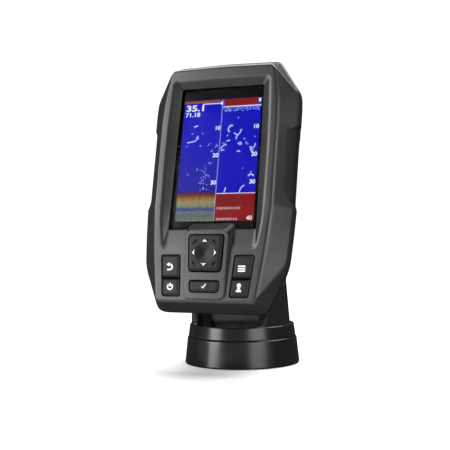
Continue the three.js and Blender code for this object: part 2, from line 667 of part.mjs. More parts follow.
const KEY_SKIRT_FRONT = -1.6;
const KEY_SKIRT_BACK = -0.5;
const KEY_SKIRT_WIDTH = 0.7;
const KEY_BEVEL = 0.7;
const SIDE_KEY_FACE = -5.7;
const SELECT_FACE = -7;
const PAD_FACE = -8;

// A key cap with a skirt that keeps it behind the bezel.
// outlineAt(amount) is the key's outline moved in by that amount.
function keyCap(outlineAt, face) {
  return loft([
    [face, outlineAt(CLEARANCE + KEY_BEVEL)],
    [face + KEY_BEVEL, outlineAt(CLEARANCE)],
    [KEY_SKIRT_FRONT, outlineAt(CLEARANCE)],
    [KEY_SKIRT_FRONT, outlineAt(-KEY_SKIRT_WIDTH)],
    [KEY_SKIRT_BACK, outlineAt(-KEY_SKIRT_WIDTH)],
  ]);
}

function sideKeyOutline(side, top, bottom) {
  const along = (z) => (POCKET_TOP - z) / (POCKET_TOP - POCKET_BOTTOM);
  const innerAt = (z) => THREE.MathUtils.lerp(POCKET_INNER_TOP, POCKET_INNER_BOTTOM, along(z));
  const outerAt = (z) => THREE.MathUtils.lerp(POCKET_OUTER_TOP, POCKET_OUTER_BOTTOM, along(z));
  return (amount) => {
    const sideways = Math.max(amount, 0) - Math.max(-amount, 0);
    const upper = top - (top === POCKET_TOP ? amount : Math.max(amount, 0));
    const lower = bottom + (bottom === POCKET_BOTTOM ? amount : Math.max(amount, 0));
    const corners = [
      [innerAt(top) + sideways, upper, 1.2], [outerAt(top) - sideways, upper, 1.4],
      [outerAt(bottom) - sideways, lower, 1.4], [innerAt(bottom) + sideways, lower, 1.2],
    ];
    return rounded(onSide(corners, side), 2);
  };
}

const sideKeys = [
  ['key_back', -1, POCKET_TOP, POCKET_SPLIT],
  ['key_power', -1, POCKET_SPLIT, POCKET_BOTTOM],
  ['key_menu', 1, POCKET_TOP, POCKET_SPLIT],
  ['key_mark', 1, POCKET_SPLIT, POCKET_BOTTOM],
];
for (const [name, side, top, bottom] of sideKeys) {
  addPart(head, name, 'key', keyCap(sideKeyOutline(side, top, bottom), SIDE_KEY_FACE));
}
// A two-row outline, top row first, moved in by some amount
function stepIn([[topX, topZ, topRadius], [bottomX, bottomZ, bottomRadius]]) {
  return (amount) => rounded(mirrored([
    [topX - amount, topZ - amount, topRadius],
    [bottomX - amount, bottomZ + amount, bottomRadius],
  ]), 2);
}

addPart(head, 'key_select', 'key', keyCap(stepIn(SELECT_OUTLINE), SELECT_FACE));

function padCap() {
  const outlineAt = stepIn(PAD_OUTLINE);
  const cap = loft([
    [PAD_FACE, outlineAt(1.7)],
    [PAD_FACE + 1, outlineAt(0.5)],
    [-1.2, outlineAt(0.5)],
  ]);
  const dish = loft([
    [PAD_FACE - 1, rounded(mirrored([[6.2, PAD_CENTRE + 6.2, 2], [6.2, PAD_CENTRE - 6.2, 2]]))],
    [PAD_FACE + 0.8, rounded(mirrored([[4.6, PAD_CENTRE + 4.6, 2], [4.6, PAD_CENTRE - 4.6, 2]]))],
  ]);
  return cut(cap, dish);
}

// The web rocks up and down with the pad, and the pad rocks left and right on it
const PAD_WEB_HALF = 4.8;
const PAD_WEB_REACH = 11.5;
const padWeb = box(
  -PAD_WEB_HALF, PAD_WEB_HALF, -0.9, -0.1, PAD_CENTRE - PAD_WEB_REACH, PAD_CENTRE + PAD_WEB_REACH,
);
addPart(head, 'dpad_cap', 'key', padCap());
addPart(head, 'dpad_web', 'rubber', padWeb);
const KEYPAD_HALF = 27.2;
addPart(head, 'keypad_mat', 'rubber', box(-KEYPAD_HALF, KEYPAD_HALF, 0.6, 1.7, -82.2, -44.6));
addPart(head, 'dome_sheet', 'steel', box(-KEYPAD_HALF, KEYPAD_HALF, 2, 2.3, -82, -45));
addPart(head, 'key_board', 'board', box(-KEYPAD_HALF, KEYPAD_HALF, 2.6, 4.2, -82, -45));

// Main board and what stands on it

function mainBoard() {
  const holes = bothSides(BOARD_POSTS).map((across) => rod('y', 1.2, 0, 20, across, 10));
  return cut(box(-26.5, 26.5, BOARD_FRONT, BOARD_BACK, -67, 48), ...holes);
}

addPart(head, 'main_board', 'board', mainBoard());
const PARTS_FRONT = BOARD_BACK + CLEARANCE;
const shieldCan = cut(
  box(-15, 13, PARTS_FRONT, PARTS_FRONT + 3.2, -12, 22),
  box(-14.5, 12.5, PARTS_FRONT - 1, PARTS_FRONT + 2.7, -11.5, 21.5),
);
addPart(head, 'shield_can', 'steel', shieldCan);
const transformer = ring('y', 3, 8.5, PARTS_FRONT, PARTS_FRONT + 7.5, [-11, -36], 20);
addPart(head, 'sonar_transformer', 'polyimide', transformer);
addPart(head, 'gps_antenna', 'ceramic', box(-9, 9, PARTS_FRONT, PARTS_FRONT + 4, 27, 45));
addPart(head, 'beeper', 'nylon', rod('y', 6, PARTS_FRONT, PARTS_FRONT + 5, [13, -36], 20));

bothSides(BOARD_POSTS).forEach((across, i) => {
  const level = i < 2 ? 'upper' : 'lower';
  const side = across[0] > 0 ? 'right' : 'left';
  const fastener = join(
    rod('y', 2.3, BOARD_FRONT - 1.9, BOARD_FRONT - CLEARANCE, across, 14),
    rod('y', 0.8, BOARD_FRONT - 1, 15.5, across, 8),
  );
  addPart(head, `board_screw_${level}_${side}`, 'steel', fastener);
});

// Cable socket on the back of the housing

const SOCKET = [0, SOCKET_HEIGHT];
const PIN_OFFSET = 3.4;

function socketBody() {
  const flange = rod('y', 11, 26.6, 28, SOCKET, 20);
  const tube = rod('y', 9, 26.6, 36.2, SOCKET, 20);
  const bore = rod('y', 7.1, 29.2, 40, SOCKET, 20);
  const key = box(-1.2, 1.2, 29.2, 35.6, SOCKET_HEIGHT + 6, SOCKET_HEIGHT + 8);
  return join(cut(join(flange, tube), bore), key);
}

const pinPlaces = [[1, 1], [-1, 1], [1, -1], [-1, -1]].map(([x, z]) => (
  [x * PIN_OFFSET, SOCKET_HEIGHT + z * PIN_OFFSET]
));
addPart(head, 'socket_body', 'nylon', socketBody());
const socketNut = cut(rod('y', 12, 32.3, 34.8, SOCKET, 6), rod('y', 9.3, 30, 38, SOCKET, 20));
addPart(head, 'socket_nut', 'nylon', socketNut);
addPart(head, 'socket_seal', 'rubber', ring('y', 9.3, 10.9, 28.3, 29.2, SOCKET, 20));
const insert = cut(
  rod('y', 5.6, 29.5, 31.6, SOCKET, 16),
  ...pinPlaces.map((place) => rod('y', 0.9, 28, 34, place, 8)),
);
addPart(head, 'socket_insert', 'rubber', insert);
pinPlaces.forEach((place, i) => {
  addPart(head, `contact_pin_${i + 1}`, 'brass', rod('y', 0.6, 29.5, 35, place, 8));
});

export default fishFinder;
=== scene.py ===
# Looks of the compact fish finder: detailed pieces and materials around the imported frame.
# Lengths inside the pieces are in millimetres and become metres when a mesh is made.
import json
import math
import random

import bmesh
import bpy
from mathutils import Matrix, Vector
from mathutils.geometry import tessellate_polygon


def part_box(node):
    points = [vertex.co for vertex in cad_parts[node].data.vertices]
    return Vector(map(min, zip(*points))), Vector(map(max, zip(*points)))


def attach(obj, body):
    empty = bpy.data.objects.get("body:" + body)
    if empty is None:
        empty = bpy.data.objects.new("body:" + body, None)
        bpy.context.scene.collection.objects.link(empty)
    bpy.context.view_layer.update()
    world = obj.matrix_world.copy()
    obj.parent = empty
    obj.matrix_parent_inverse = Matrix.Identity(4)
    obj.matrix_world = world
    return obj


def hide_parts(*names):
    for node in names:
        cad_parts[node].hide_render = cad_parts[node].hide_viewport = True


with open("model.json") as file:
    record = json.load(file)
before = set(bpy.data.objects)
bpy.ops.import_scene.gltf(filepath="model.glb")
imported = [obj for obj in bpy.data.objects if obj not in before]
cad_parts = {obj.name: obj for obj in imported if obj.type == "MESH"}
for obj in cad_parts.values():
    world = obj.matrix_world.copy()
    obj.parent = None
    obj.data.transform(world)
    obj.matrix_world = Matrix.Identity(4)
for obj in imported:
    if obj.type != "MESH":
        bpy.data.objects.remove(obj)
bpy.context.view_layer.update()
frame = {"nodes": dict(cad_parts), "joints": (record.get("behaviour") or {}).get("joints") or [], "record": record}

MM = 0.001
RANDOM = random.Random(7)

# ---------- places taken from the frame

JOINTS = {joint["name"]: joint for joint in frame["joints"]}
UP_FACE = Vector(JOINTS["head_lift"]["axis"]).normalized()
INTO_FACE = Vector(JOINTS["key_select_press"]["axis"]).normalized()
LCD_LOW, LCD_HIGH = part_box("lcd_panel")
LCD_MIDDLE_DEPTH = 1.15
PICTURE_CENTRE = (LCD_LOW + LCD_HIGH) / 2 - INTO_FACE * LCD_MIDDLE_DEPTH * MM
PIVOT_POINT = Vector(JOINTS["head_tilt"]["pos_m"]) / MM
PIVOT_HEIGHT = PIVOT_POINT.z


def head_matrix():
    """Head coordinates (right, into the face, up the face) in mm to the row frame in metres."""
    turn = Matrix((Vector((1, 0, 0)), INTO_FACE, UP_FACE)).transposed().to_4x4()
    return Matrix.Translation(PICTURE_CENTRE) @ turn @ Matrix.Scale(MM, 4)


HEAD = head_matrix()
FIXED = Matrix.Scale(MM, 4)
PIVOT_IN_HEAD = HEAD.inverted() @ (PIVOT_POINT * MM)

# ---------- dimensions shared with the frame

RIM_FACE = -5.3
ISLAND_FACE = -6.3
ISLAND_LOW = -82.7
ISLAND_SLOPE = 0.062
BASIN_FLOOR = -2.7
BEZEL_CEILING = -2.0
CREASE_DEPTH = 5.0
BEZEL_BACK = 7.2
HOUSING_FRONT = 7.5
HOUSING_BACK = 32.0
HOUSING_WALL = 2.5
BEYOND_BACK = 40
GLASS_FRONT = -1.7
GLASS_BACK = -0.6
PAD_CENTRE = -56.8
POCKET_TOP = -57.2
POCKET_BOTTOM = -81.4
POCKET_SPLIT = -70.8
SOCKET_HEIGHT = 6.0
PICTURE_HALF_WIDTH = 24.48
PICTURE_HALF_HEIGHT = 36.72
PICTURE_MARGIN = 0.4
SCREW_POSTS = ((33, 44), (35.4, -37), (31.5, -72))
VENT = (25, 22)
BACK_INSET = (10, 14, 19)
RAIL_SPAN = (-64, -20)
LATCH_PIN = (41, -34)
DIAGONALS = ((1, 1), (-1, 1), (1, -1), (-1, -1))

# Right halves of symmetric outlines, top to bottom: half-width, height, corner radius
RIM_OUTLINE = [
    (0, 55.6, 8), (31.0, 54.9, 1.6), (32.8, 53.4, 1.6), (35.8, 36, 12), (36.6, 20.5, 0.8),
    (36.6, 18, 0.8), (36.6, -26, 0.8), (36.6, -28.5, 0.8), (34.6, -54, 12), (30.7, -82.6, 1.6),
    (29.3, -84.2, 1.6),
]
FLANGE_OUTLINE = [
    (0, 61.3, 8), (31.9, 60.5, 2.2), (45.4, 40.2, 3.5), (45.9, 32, 3), (45.9, 20.5, 1.2), (45.3, 18, 1.2),
    (45.3, -26, 1.2), (46.3, -28.8, 1.2), (45.5, -46, 8), (44.3, -62.8, 5), (33.6, -88.9, 5),
]
BASIN_TOP = [(0, 48.8, 4), (30.4, 48.0, 3.0), (32.2, 10, 20), (31.5, -38, 12), (28.6, -54, 3.2)]
BASIN_BOTTOM = [(0, 43.6, 4), (26, 43.6, 1.2), (26.6, 10, 20), (27.1, -30, 12), (27.3, -41.9, 1.2)]
ISLAND_TOP = [(13.0, -43.5, 4.2), (12.5, -82.7, 4)]
ISLAND_FOOT = [(15, -38.4, 4.5), (13.5, -83.4, 4)]
PAD_OUTLINE = [(11.3, -46, 2.6), (10.1, -67.6, 2.6)]
SELECT_OUTLINE = [(9.6, -72, 2), (8.9, -79.1, 2)]
# The whole right pocket of the side keys, clockwise from its inner top corner
POCKET_OUTLINE = [
    (16.7, POCKET_TOP, 1.4), (29, POCKET_TOP, 1.6), (26.4, POCKET_BOTTOM, 1.6), (14.9, POCKET_BOTTOM, 1.4),
]
# Side view of the bay in the bezel's edge: depth, height
NOTCH = [(9, -29), (9, 22), (5, 20), (0, 16), (0, -19), (5, -26.5)]
NOTCH_INNER = 38.0
BEYOND_SIDE = 60
GAP = 0.3

# ---------- outlines


def mirrored(half):
    """The right half of a symmetric outline becomes the whole anticlockwise outline."""
    left = [(-x, z, radius) for x, z, radius in half if x > 0]
    return left + list(reversed(half))


def inset(half, side, top=None, bottom=None):
    """The frame's own inset: sides move in evenly, top and bottom in step with their height."""
    top = side if top is None else top
    bottom = side if bottom is None else bottom
    result = []
    for x, z, radius in half:
        height = z - top * min(1, z / 40) if z > 0 else z + bottom * min(1, -z / 60)
        result.append((0 if x == 0 else max(x - side, 1), height, radius))
    return result


def offset(corners, inward):
    """Every edge of an anticlockwise outline moves in by the same distance."""
    result = []
    count = len(corners)
    for i, (x, z, radius) in enumerate(corners):
        here = Vector((x, z))
        before = (here - Vector(corners[i - 1][:2])).normalized()
        after = (Vector(corners[(i + 1) % count][:2]) - here).normalized()
        normal = Vector((-before.y, before.x))
        middle = (normal + Vector((-after.y, after.x))).normalized()
        here += middle * inward / max(middle.dot(normal), 0.35)
        result.append((here.x, here.y, max(radius - inward, 0.1)))
    return result


def curve(start, corner, end, t):
    return start * (1 - t) ** 2 + corner * 2 * t * (1 - t) + end * t ** 2


def rounded(corners, steps=6):
    """Each corner becomes a curve of the same number of steps."""
    outline = []
    count = len(corners)
    for i, (x, z, radius) in enumerate(corners):
        here = Vector((x, z))
        before = Vector(corners[i - 1][:2]) - here
        after = Vector(corners[(i + 1) % count][:2]) - here
        reach = min(radius, 0.45 * before.length, 0.45 * after.length)
        start = here + before.normalized() * reach
        end = here + after.normalized() * reach
        outline += [curve(start, here, end, step / steps) for step in range(steps + 1)]
    return outline


def at_depth(outline, depth):
    return [Vector((point.x, depth, point.y)) for point in outline]


def flange_ring(depth, side=0.0, top=None, bottom=None):
    return at_depth(rounded(mirrored(inset(FLANGE_OUTLINE, side, top, bottom))), depth)


def rim_ring(depth, side=0.0):
    return at_depth(rounded(mirrored(inset(RIM_OUTLINE, side))), depth)


def circle(radius, count, centre=(0, 0), wave=0.0):
    """Points round a circle; a wave makes six lobes of it."""
    points = []
    for i in range(count):
        angle = 2 * math.pi * i / count
        reach = radius + wave * math.cos(6 * angle)
        points.append(Vector((centre[0] + reach * math.cos(angle), centre[1] + reach * math.sin(angle))))
    return points


def hexagon(radius, height, corner):
    return [(point.x, point.y, corner) for point in circle(radius, 6, (0, height))]


def mixed(ring_a, ring_b, t):
    return [a.lerp(b, t) for a, b in zip(ring_a, ring_b)]


def bend(ring_a, corner, ring_b, steps=4):
    """Rings that round the edge at corner, from ring_a to ring_b."""
    rings = []
    for step in range(steps + 1):
        rings.append([curve(a, c, b, step / steps) for a, c, b in zip(ring_a, corner, ring_b)])
    return rings


# ---------- places

DEEP = Matrix.Rotation(-math.pi / 2, 4, "X")
SIDEWAYS = Matrix.Rotation(math.pi / 2, 4, "Y")


def into_head(x, z):
    """The local Z axis runs into the head at that place on its face."""
    return HEAD @ Matrix.Translation((x, 0, z)) @ DEEP


def across_head(depth, z):
    """The local Z axis runs from left to right at that depth and height."""
    return HEAD @ Matrix.Translation((0, depth, z)) @ SIDEWAYS


def along_pivot():
    return FIXED @ Matrix.Translation((0, 0, PIVOT_HEIGHT)) @ SIDEWAYS


def upright(u, w, t):
    """An outline in the side view, given its thickness from left to right."""
    return Vector((t, u, w))


# ---------- meshes


def placed(name, data):
    item = bpy.data.objects.new(name, data)
    bpy.context.scene.collection.objects.link(item)
    return item


WELD = 1e-7


def mesh_object(name, points, faces, matrix=HEAD):
    """Points in mm become a mesh in metres with its faces turned outwards."""
    mesh = bpy.data.meshes.new(name)
    mesh.from_pydata([matrix @ point for point in points], [], faces)
    work = bmesh.new()
    work.from_mesh(mesh)
    bmesh.ops.remove_doubles(work, verts=work.verts, dist=WELD)
    bmesh.ops.dissolve_degenerate(work, edges=work.edges, dist=WELD / 10)
    bmesh.ops.recalc_face_normals(work, faces=work.faces)
    if work.calc_volume(signed=True) < 0:
        bmesh.ops.reverse_faces(work, faces=work.faces)
    work.to_mesh(mesh)
    work.free()
    return placed(name, mesh)


def skin(name, rings, matrix=HEAD, closed=False):
    """Rings with equal point counts become one closed surface, capped unless it closes on itself."""
    count = len(rings[0])
    points = [point for ring in rings for point in ring]
    faces = []
    levels = len(rings)
    for level in range(levels if closed else levels - 1):
        low = level * count
        high = (level + 1) % levels * count
        for i in range(count):
            j = (i + 1) % count
            faces.append((low + i, low + j, high + j, high + i))
    if not closed:
        for start, ring in ((0, rings[0]), ((levels - 1) * count, rings[-1])):
            for triangle in tessellate_polygon([ring]):
                faces.append(tuple(start + index for index in triangle))
    return mesh_object(name, points, faces, matrix)


def pillow(name, corners, low, high, fillet, matrix=HEAD, place=None, low_fillet=None,
           steps=4, corner_steps=6):
    """An outline given a thickness, with rounded edges at both ends."""
    place = place or (lambda u, w, t: Vector((u, t, w)))
    low_fillet = fillet if low_fillet is None else low_fillet
    rings = []

    def ring(inward, depth):
        outline = rounded(offset(corners, inward), corner_steps)
        rings.append([place(point.x, point.y, depth) for point in outline])

    for step in range(steps + 1):
        angle = math.pi / 2 * (1 - step / steps)
        ring(low_fillet * (1 - math.cos(angle)), low + low_fillet * (1 - math.sin(angle)))
    for step in range(steps + 1):
        angle = math.pi / 2 * step / steps
        ring(fillet * (1 - math.cos(angle)), high - fillet * (1 - math.sin(angle)))
    return skin(name, rings, matrix)


def turned(name, corners, matrix=FIXED, segments=96, steps=4):
    """A closed profile of (radius, height, corner radius) turned about the local Z axis."""
    profile = rounded(corners, steps)
    rings = []
    for segment in range(segments):
        angle = 2 * math.pi * segment / segments
        rings.append([
            Vector((max(p.x, 0) * math.cos(angle), max(p.x, 0) * math.sin(angle), p.y)) for p in profile
        ])
    return skin(name, rings, matrix, closed=True)


def drill(name, radius, low, high, matrix=FIXED, segments=48):
    """A plain round cutter along the local Z axis."""
    profile = [(0, low, 0), (radius, low, 0), (radius, high, 0), (0, high, 0)]
    return turned(name, profile, matrix, segments, 1)


def rod(name, radius, low, high, across=(0, 0), segments=48):
    """A plain round cutter along the depth of the head."""
    outline = circle(radius, segments, across)
    return skin(name, [at_depth(outline, low), at_depth(outline, high)])


def block(name, x0, x1, y0, y1, z0, z1, fillet=0.4, matrix=HEAD):
    corners = [(x0, z0, fillet), (x1, z0, fillet), (x1, z1, fillet), (x0, z1, fillet)]
    return pillow(name, corners, y0, y1, fillet, matrix, corner_steps=3, steps=3)


def settle(piece):
    """Modifiers become part of the mesh."""
    bpy.context.view_layer.update()
    graph = bpy.context.evaluated_depsgraph_get()
    mesh = bpy.data.meshes.new_from_object(piece.evaluated_get(graph))
    piece.modifiers.clear()
    piece.data = mesh


def combine(piece, tools, operation):
    """The tools are used up."""
    for tool in tools:
        modifier = piece.modifiers.new("combine", "BOOLEAN")
        modifier.operation = operation
        modifier.solver = "EXACT"
        modifier.object = tool
    settle(piece)
    for tool in tools:
        bpy.data.objects.remove(tool)


def cut(piece, *tools):
    combine(piece, tools, "DIFFERENCE")


def join(piece, *tools):
    combine(piece, tools, "UNION")


BEVEL_ANGLE = 35


def finish_piece(piece, body, slot, replaces=(), material=None, sharp=32, edge=0.0):
    """Shading, an optional small bevel on what is still sharp, material and the frame's facts."""
    if edge:
        bevel = piece.modifiers.new("edges", "BEVEL")
        bevel.width = edge * MM
        bevel.segments = 2
        bevel.limit_method = "ANGLE"
        bevel.angle_limit = math.radians(BEVEL_ANGLE)
        bevel.use_clamp_overlap = True
        bevel.harden_normals = False
        settle(piece)
    piece.data.shade_smooth()
    piece.data.set_sharp_from_angle(angle=math.radians(sharp))
    weighted = piece.modifiers.new("weighted", "WEIGHTED_NORMAL")
    weighted.keep_sharp = True
    weighted.weight = 80
    piece.data.materials.clear()
    piece.data.materials.append(material or SLOT_MATERIALS[slot])
    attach(piece, body)
    if replaces:
        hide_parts(*replaces)


# ---------- materials


def new_material(name):
    """A material, its nodes, links and shader, and the object coordinates to place detail by."""
    material = bpy.data.materials.new(name)
    material.use_nodes = True
    nodes = material.node_tree.nodes
    place = nodes.new("ShaderNodeTexCoord").outputs["Object"]
    return material, nodes, material.node_tree.links, nodes["Principled BSDF"], place


def put(node, **values):
    """Constants on a node's sockets, named with underscores for spaces."""
    for socket, value in values.items():
        node.inputs[socket.replace("_", " ")].default_value = value


def grey(value):
    return (value, value, value)


def noise(nodes, links, source, scale, detail=3.0, stretch=None):
    texture = nodes.new("ShaderNodeTexNoise")
    put(texture, Scale=scale, Detail=detail)
    if stretch:
        mapping = nodes.new("ShaderNodeMapping")
        put(mapping, Scale=stretch)
        links.new(source, mapping.inputs["Vector"])
        source = mapping.outputs["Vector"]
    links.new(source, texture.inputs["Vector"])
    return texture.outputs["Fac"]


def ramp(nodes, links, source, stops):
    """A colour that follows the source through stops of (position, colour)."""
    node = nodes.new("ShaderNodeValToRGB")
    elements = node.color_ramp.elements
    while len(elements) < len(stops):
        elements.new(0.5)
    for element, (position, colour) in zip(elements, stops):
        element.position = position
        element.color = (*colour, 1)
    links.new(source, node.inputs["Fac"])
    return node.outputs["Color"]


def vary(nodes, links, source, first, second, socket):
    """The socket follows the pattern between two colours."""
    links.new(ramp(nodes, links, source, [(0.3, first), (0.7, second)]), socket)


GLOSS_SPREAD = 0.06
BUMP_STRENGTH = 0.35
BROAD_SCALE = 45.0
BRUSH_SPREAD = 0.07
BRUSH_SCALE = 1500.0


def textured(name, colour, roughness, grain=2600.0, depth=0.02, mottling=0.12, specular=0.5):
    """A moulded surface: fine grain, slow changes of gloss, and a slight mottling of the colour."""
    material, nodes, links, shader, place = new_material(name)
    broad = noise(nodes, links, place, BROAD_SCALE)
    fine = noise(nodes, links, place, grain, 2.0)
    lighter = tuple(min(1, c * (1 + mottling)) for c in colour)
    darker = tuple(c * (1 - mottling) for c in colour)
    vary(nodes, links, fine, darker, lighter, shader.inputs["Base Color"])
    smooth, rough = grey(roughness - GLOSS_SPREAD), grey(roughness + GLOSS_SPREAD)
    vary(nodes, links, broad, smooth, rough, shader.inputs["Roughness"])
    bump = nodes.new("ShaderNodeBump")
    put(bump, Strength=BUMP_STRENGTH, Distance=depth * MM)
    links.new(fine, bump.inputs["Height"])
    links.new(bump.outputs["Normal"], shader.inputs["Normal"])
    put(shader, Specular_IOR_Level=specular)
    return material


def brushed(name, colour, roughness, stretch):
    """Metal with fine lines left by finishing."""
    material, nodes, links, shader, place = new_material(name)
    lines = noise(nodes, links, place, BRUSH_SCALE, 2.0, stretch)
    darker = tuple(c * 0.8 for c in colour)
    vary(nodes, links, lines, darker, colour, shader.inputs["Base Color"])
    smooth, rough = grey(roughness - BRUSH_SPREAD), grey(roughness + BRUSH_SPREAD)
    vary(nodes, links, lines, smooth, rough, shader.inputs["Roughness"])
    put(shader, Metallic=1.0)
    return material


def window_material():
    """Thin clear glass whose coating leaves only a weak reflection."""
    material, nodes, links, shader, place = new_material("window_glass")
    smears = noise(nodes, links, place, 60.0)
    links.new(ramp(nodes, links, smears, [(0.4, grey(0.0)), (0.8, grey(0.02))]), shader.inputs["Roughness"])
    put(shader, Base_Color=(0.97, 0.98, 1.0, 1), Transmission_Weight=1.0, IOR=1.05)
    return material


def light_up(shader, links, colour):
    """The shader gives off the colour and is itself nearly black, with a weak sheen."""
    links.new(colour, shader.inputs["Emission Color"])
    put(shader, Emission_Strength=1.0, Base_Color=(*grey(0.001), 1), Roughness=0.34, Specular_IOR_Level=0.07)


def glowing(name, colour):
    """A lit mark on the display, with the display's own fine unevenness."""
    material, nodes, links, shader, place = new_material(name)
    cells = noise(nodes, links, place, 1400.0, 1.0)
    dimmer = tuple(c * 0.82 for c in colour)
    light_up(shader, links, ramp(nodes, links, cells, [(0.35, dimmer), (0.65, colour)]))
    return material


# Colours of the two sonar traces by height above the picture's middle
LEFT_ECHO = [
    (-36.7, (0.17, 0.19, 0.15)), (-33.5, (0.10, 0.13, 0.13)), (-31.0, (0.14, 0.17, 0.18)),
    (-30.2, (0.035, 0.05, 0.22)), (-28.9, (0.07, 0.10, 0.25)), (-28.0, (0.19, 0.21, 0.15)),
    (-25.6, (0.30, 0.25, 0.10)), (-23.4, (0.29, 0.16, 0.045)), (-21.8, (0.17, 0.05, 0.02)),
    (-20.4, (0.12, 0.014, 0.02)), (-19.6, (0.05, 0.01, 0.09)), (-18.8, (0.010, 0.008, 0.34)),
    (10.0, (0.002, 0.002, 0.50)), (33.0, (0.001, 0.001, 0.50)), (36.7, (0.002, 0.001, 0.45)),
]
RIGHT_ECHO = [
    (-36.7, (0.20, 0.004, 0.006)), (-30.5, (0.29, 0.004, 0.004)), (-26.5, (0.20, 0.004, 0.006)),
    (-21.2, (0.22, 0.004, 0.008)), (-20.6, (0.26, 0.01, 0.03)), (-20.3, (0.002, 0.002, 0.47)),
    (10.0, (0.001, 0.001, 0.50)), (29.4, (0.001, 0.001, 0.50)), (30.8, (0.02, 0.04, 0.52)),
]
BED_TOP = -17.5
BED_SWING = 2.2
# Places of the colour sockets on a mix node
COLOUR_A, COLOUR_B, COLOUR_RESULT = 6, 7, 2


def picture_material():
    """Two sonar traces side by side: deep water above, layered sea bed below."""
    material, nodes, links, shader, place = new_material("sonar_picture")
    local = nodes.new("ShaderNodeMapping")
    local.vector_type = "TEXTURE"
    turn = HEAD.to_3x3().normalized().to_euler()
    put(local, Location=PICTURE_CENTRE, Rotation=turn, Scale=(MM, MM, MM))
    links.new(place, local.inputs["Vector"])
    parts = nodes.new("ShaderNodeSeparateXYZ")
    links.new(local.outputs["Vector"], parts.inputs["Vector"])

    def maths(operation, first, second):
        node = nodes.new("ShaderNodeMath")
        node.operation = operation
        for socket, value in zip(node.inputs, (first, second)):
            if isinstance(value, (int, float)):
                socket.default_value = value
            else:
                links.new(value, socket)
        return node.outputs["Value"]

    def mix(blend, first, second):
        node = nodes.new("ShaderNodeMix")
        node.data_type = "RGBA"
        node.blend_type = blend
        put(node, Factor=1.0)
        links.new(first, node.inputs[COLOUR_A])
        links.new(second, node.inputs[COLOUR_B])
        return node

    def bands(height, echo):
        share = maths("DIVIDE", maths("ADD", height, PICTURE_HALF_HEIGHT), 2 * PICTURE_HALF_HEIGHT)
        stops = [((z + PICTURE_HALF_HEIGHT) / (2 * PICTURE_HALF_HEIGHT), colour) for z, colour in echo]
        return ramp(nodes, links, share, stops)

    waves = noise(nodes, links, local.outputs["Vector"], 0.55, 4.0, (1.0, 1.0, 0.25))
    swing = maths("MULTIPLY", maths("SUBTRACT", waves, 0.5), BED_SWING)
    in_bed = maths("LESS_THAN", parts.outputs["Z"], BED_TOP)
    height = maths("ADD", parts.outputs["Z"], maths("MULTIPLY", swing, in_bed))
    left = bands(height, LEFT_ECHO)
    right = bands(parts.outputs["Z"], RIGHT_ECHO)
    halves = mix("MIX", left, right)
    links.new(maths("GREATER_THAN", parts.outputs["X"], 0.0), halves.inputs["Factor"])
    speckle = noise(nodes, links, local.outputs["Vector"], 1.6, 5.0)
    flecks = ramp(nodes, links, speckle, [(0.30, grey(0.80)), (0.60, grey(1.0)), (0.74, (1.5, 1.6, 1.15))])
    speckled = mix("MULTIPLY", halves.outputs[COLOUR_RESULT], flecks)
    light_up(shader, links, speckled.outputs[COLOUR_RESULT])
    return material


BEZEL = textured("bezel_plastic", (0.020, 0.020, 0.0205), 0.33, 2400.0, 0.03)
HOUSING = textured("housing_plastic", (0.009, 0.009, 0.0095), 0.44, 1900.0, 0.05, specular=0.35)
GRIP = textured("grip_plastic", (0.010, 0.010, 0.0105), 0.52, 1500.0, 0.07, specular=0.3)
MOUNT = textured("mount_plastic", (0.011, 0.011, 0.0115), 0.25, 3000.0, 0.015)
KEY = textured("key_silicone", (0.009, 0.009, 0.0095), 0.38, specular=0.20)
ICON = textured("icon_print", (0.78, 0.78, 0.76), 0.55, mottling=0.05)
RUBBER = textured("seal_rubber", grey(0.014), 0.75, 1600.0)
NYLON = textured("nylon", (0.018, 0.018, 0.019), 0.48)
BORDER = textured("printed_border", (0.004, 0.004, 0.005), 0.30, depth=0.002, specular=0.04)
BOARD = textured("circuit_board", (0.020, 0.150, 0.065), 0.38, mottling=0.2)
POLYIMIDE = textured("polyimide", (0.50, 0.22, 0.04), 0.35)
CERAMIC = textured("ceramic", (0.66, 0.62, 0.54), 0.6)
STEEL = brushed("steel", (0.60, 0.60, 0.61), 0.32, (1.0, 8.0, 8.0))
BRASS = brushed("brass", (0.72, 0.50, 0.20), 0.30, (8.0, 8.0, 1.0))
WINDOW = window_material()
PICTURE = picture_material()
ECHO = glowing("echo_mark", (0.30, 0.42, 0.95))
ECHO_PALE = glowing("pale_echo_mark", (0.62, 0.72, 1.0))
FIGURE = glowing("figures", (0.85, 0.88, 0.95))
BAR_RED = glowing("surface_echo", (0.26, 0.005, 0.007))
BAR_ORANGE = glowing("surface_echo_left", (0.30, 0.06, 0.03))
DIVIDER = glowing("divider", (0.30, 0.35, 0.72))
PALE_BAR = glowing("placeholder_bar", (0.52, 0.38, 0.44))

SLOT_MATERIALS = {
    "seal_rubber": RUBBER, "steel": STEEL, "brass": BRASS, "circuit_board": BOARD,
    "polyimide": POLYIMIDE, "ceramic": CERAMIC, "nylon": NYLON, "display": BORDER,
    "mount_plastic": MOUNT, "bezel_plastic": BEZEL, "housing_plastic": HOUSING,
    "key_plastic": KEY, "window_glass": WINDOW,
}


def dress_frame_nodes():
    """Every CAD node gets its slot's material; the pieces below replace the ones that need more."""
    for entry in frame["record"]["subparts"]:
        node = frame["nodes"][entry["node"]]
        node.data.materials.clear()
        node.data.materials.append(SLOT_MATERIALS[entry["material_slot"]])


# ---------- front bezel


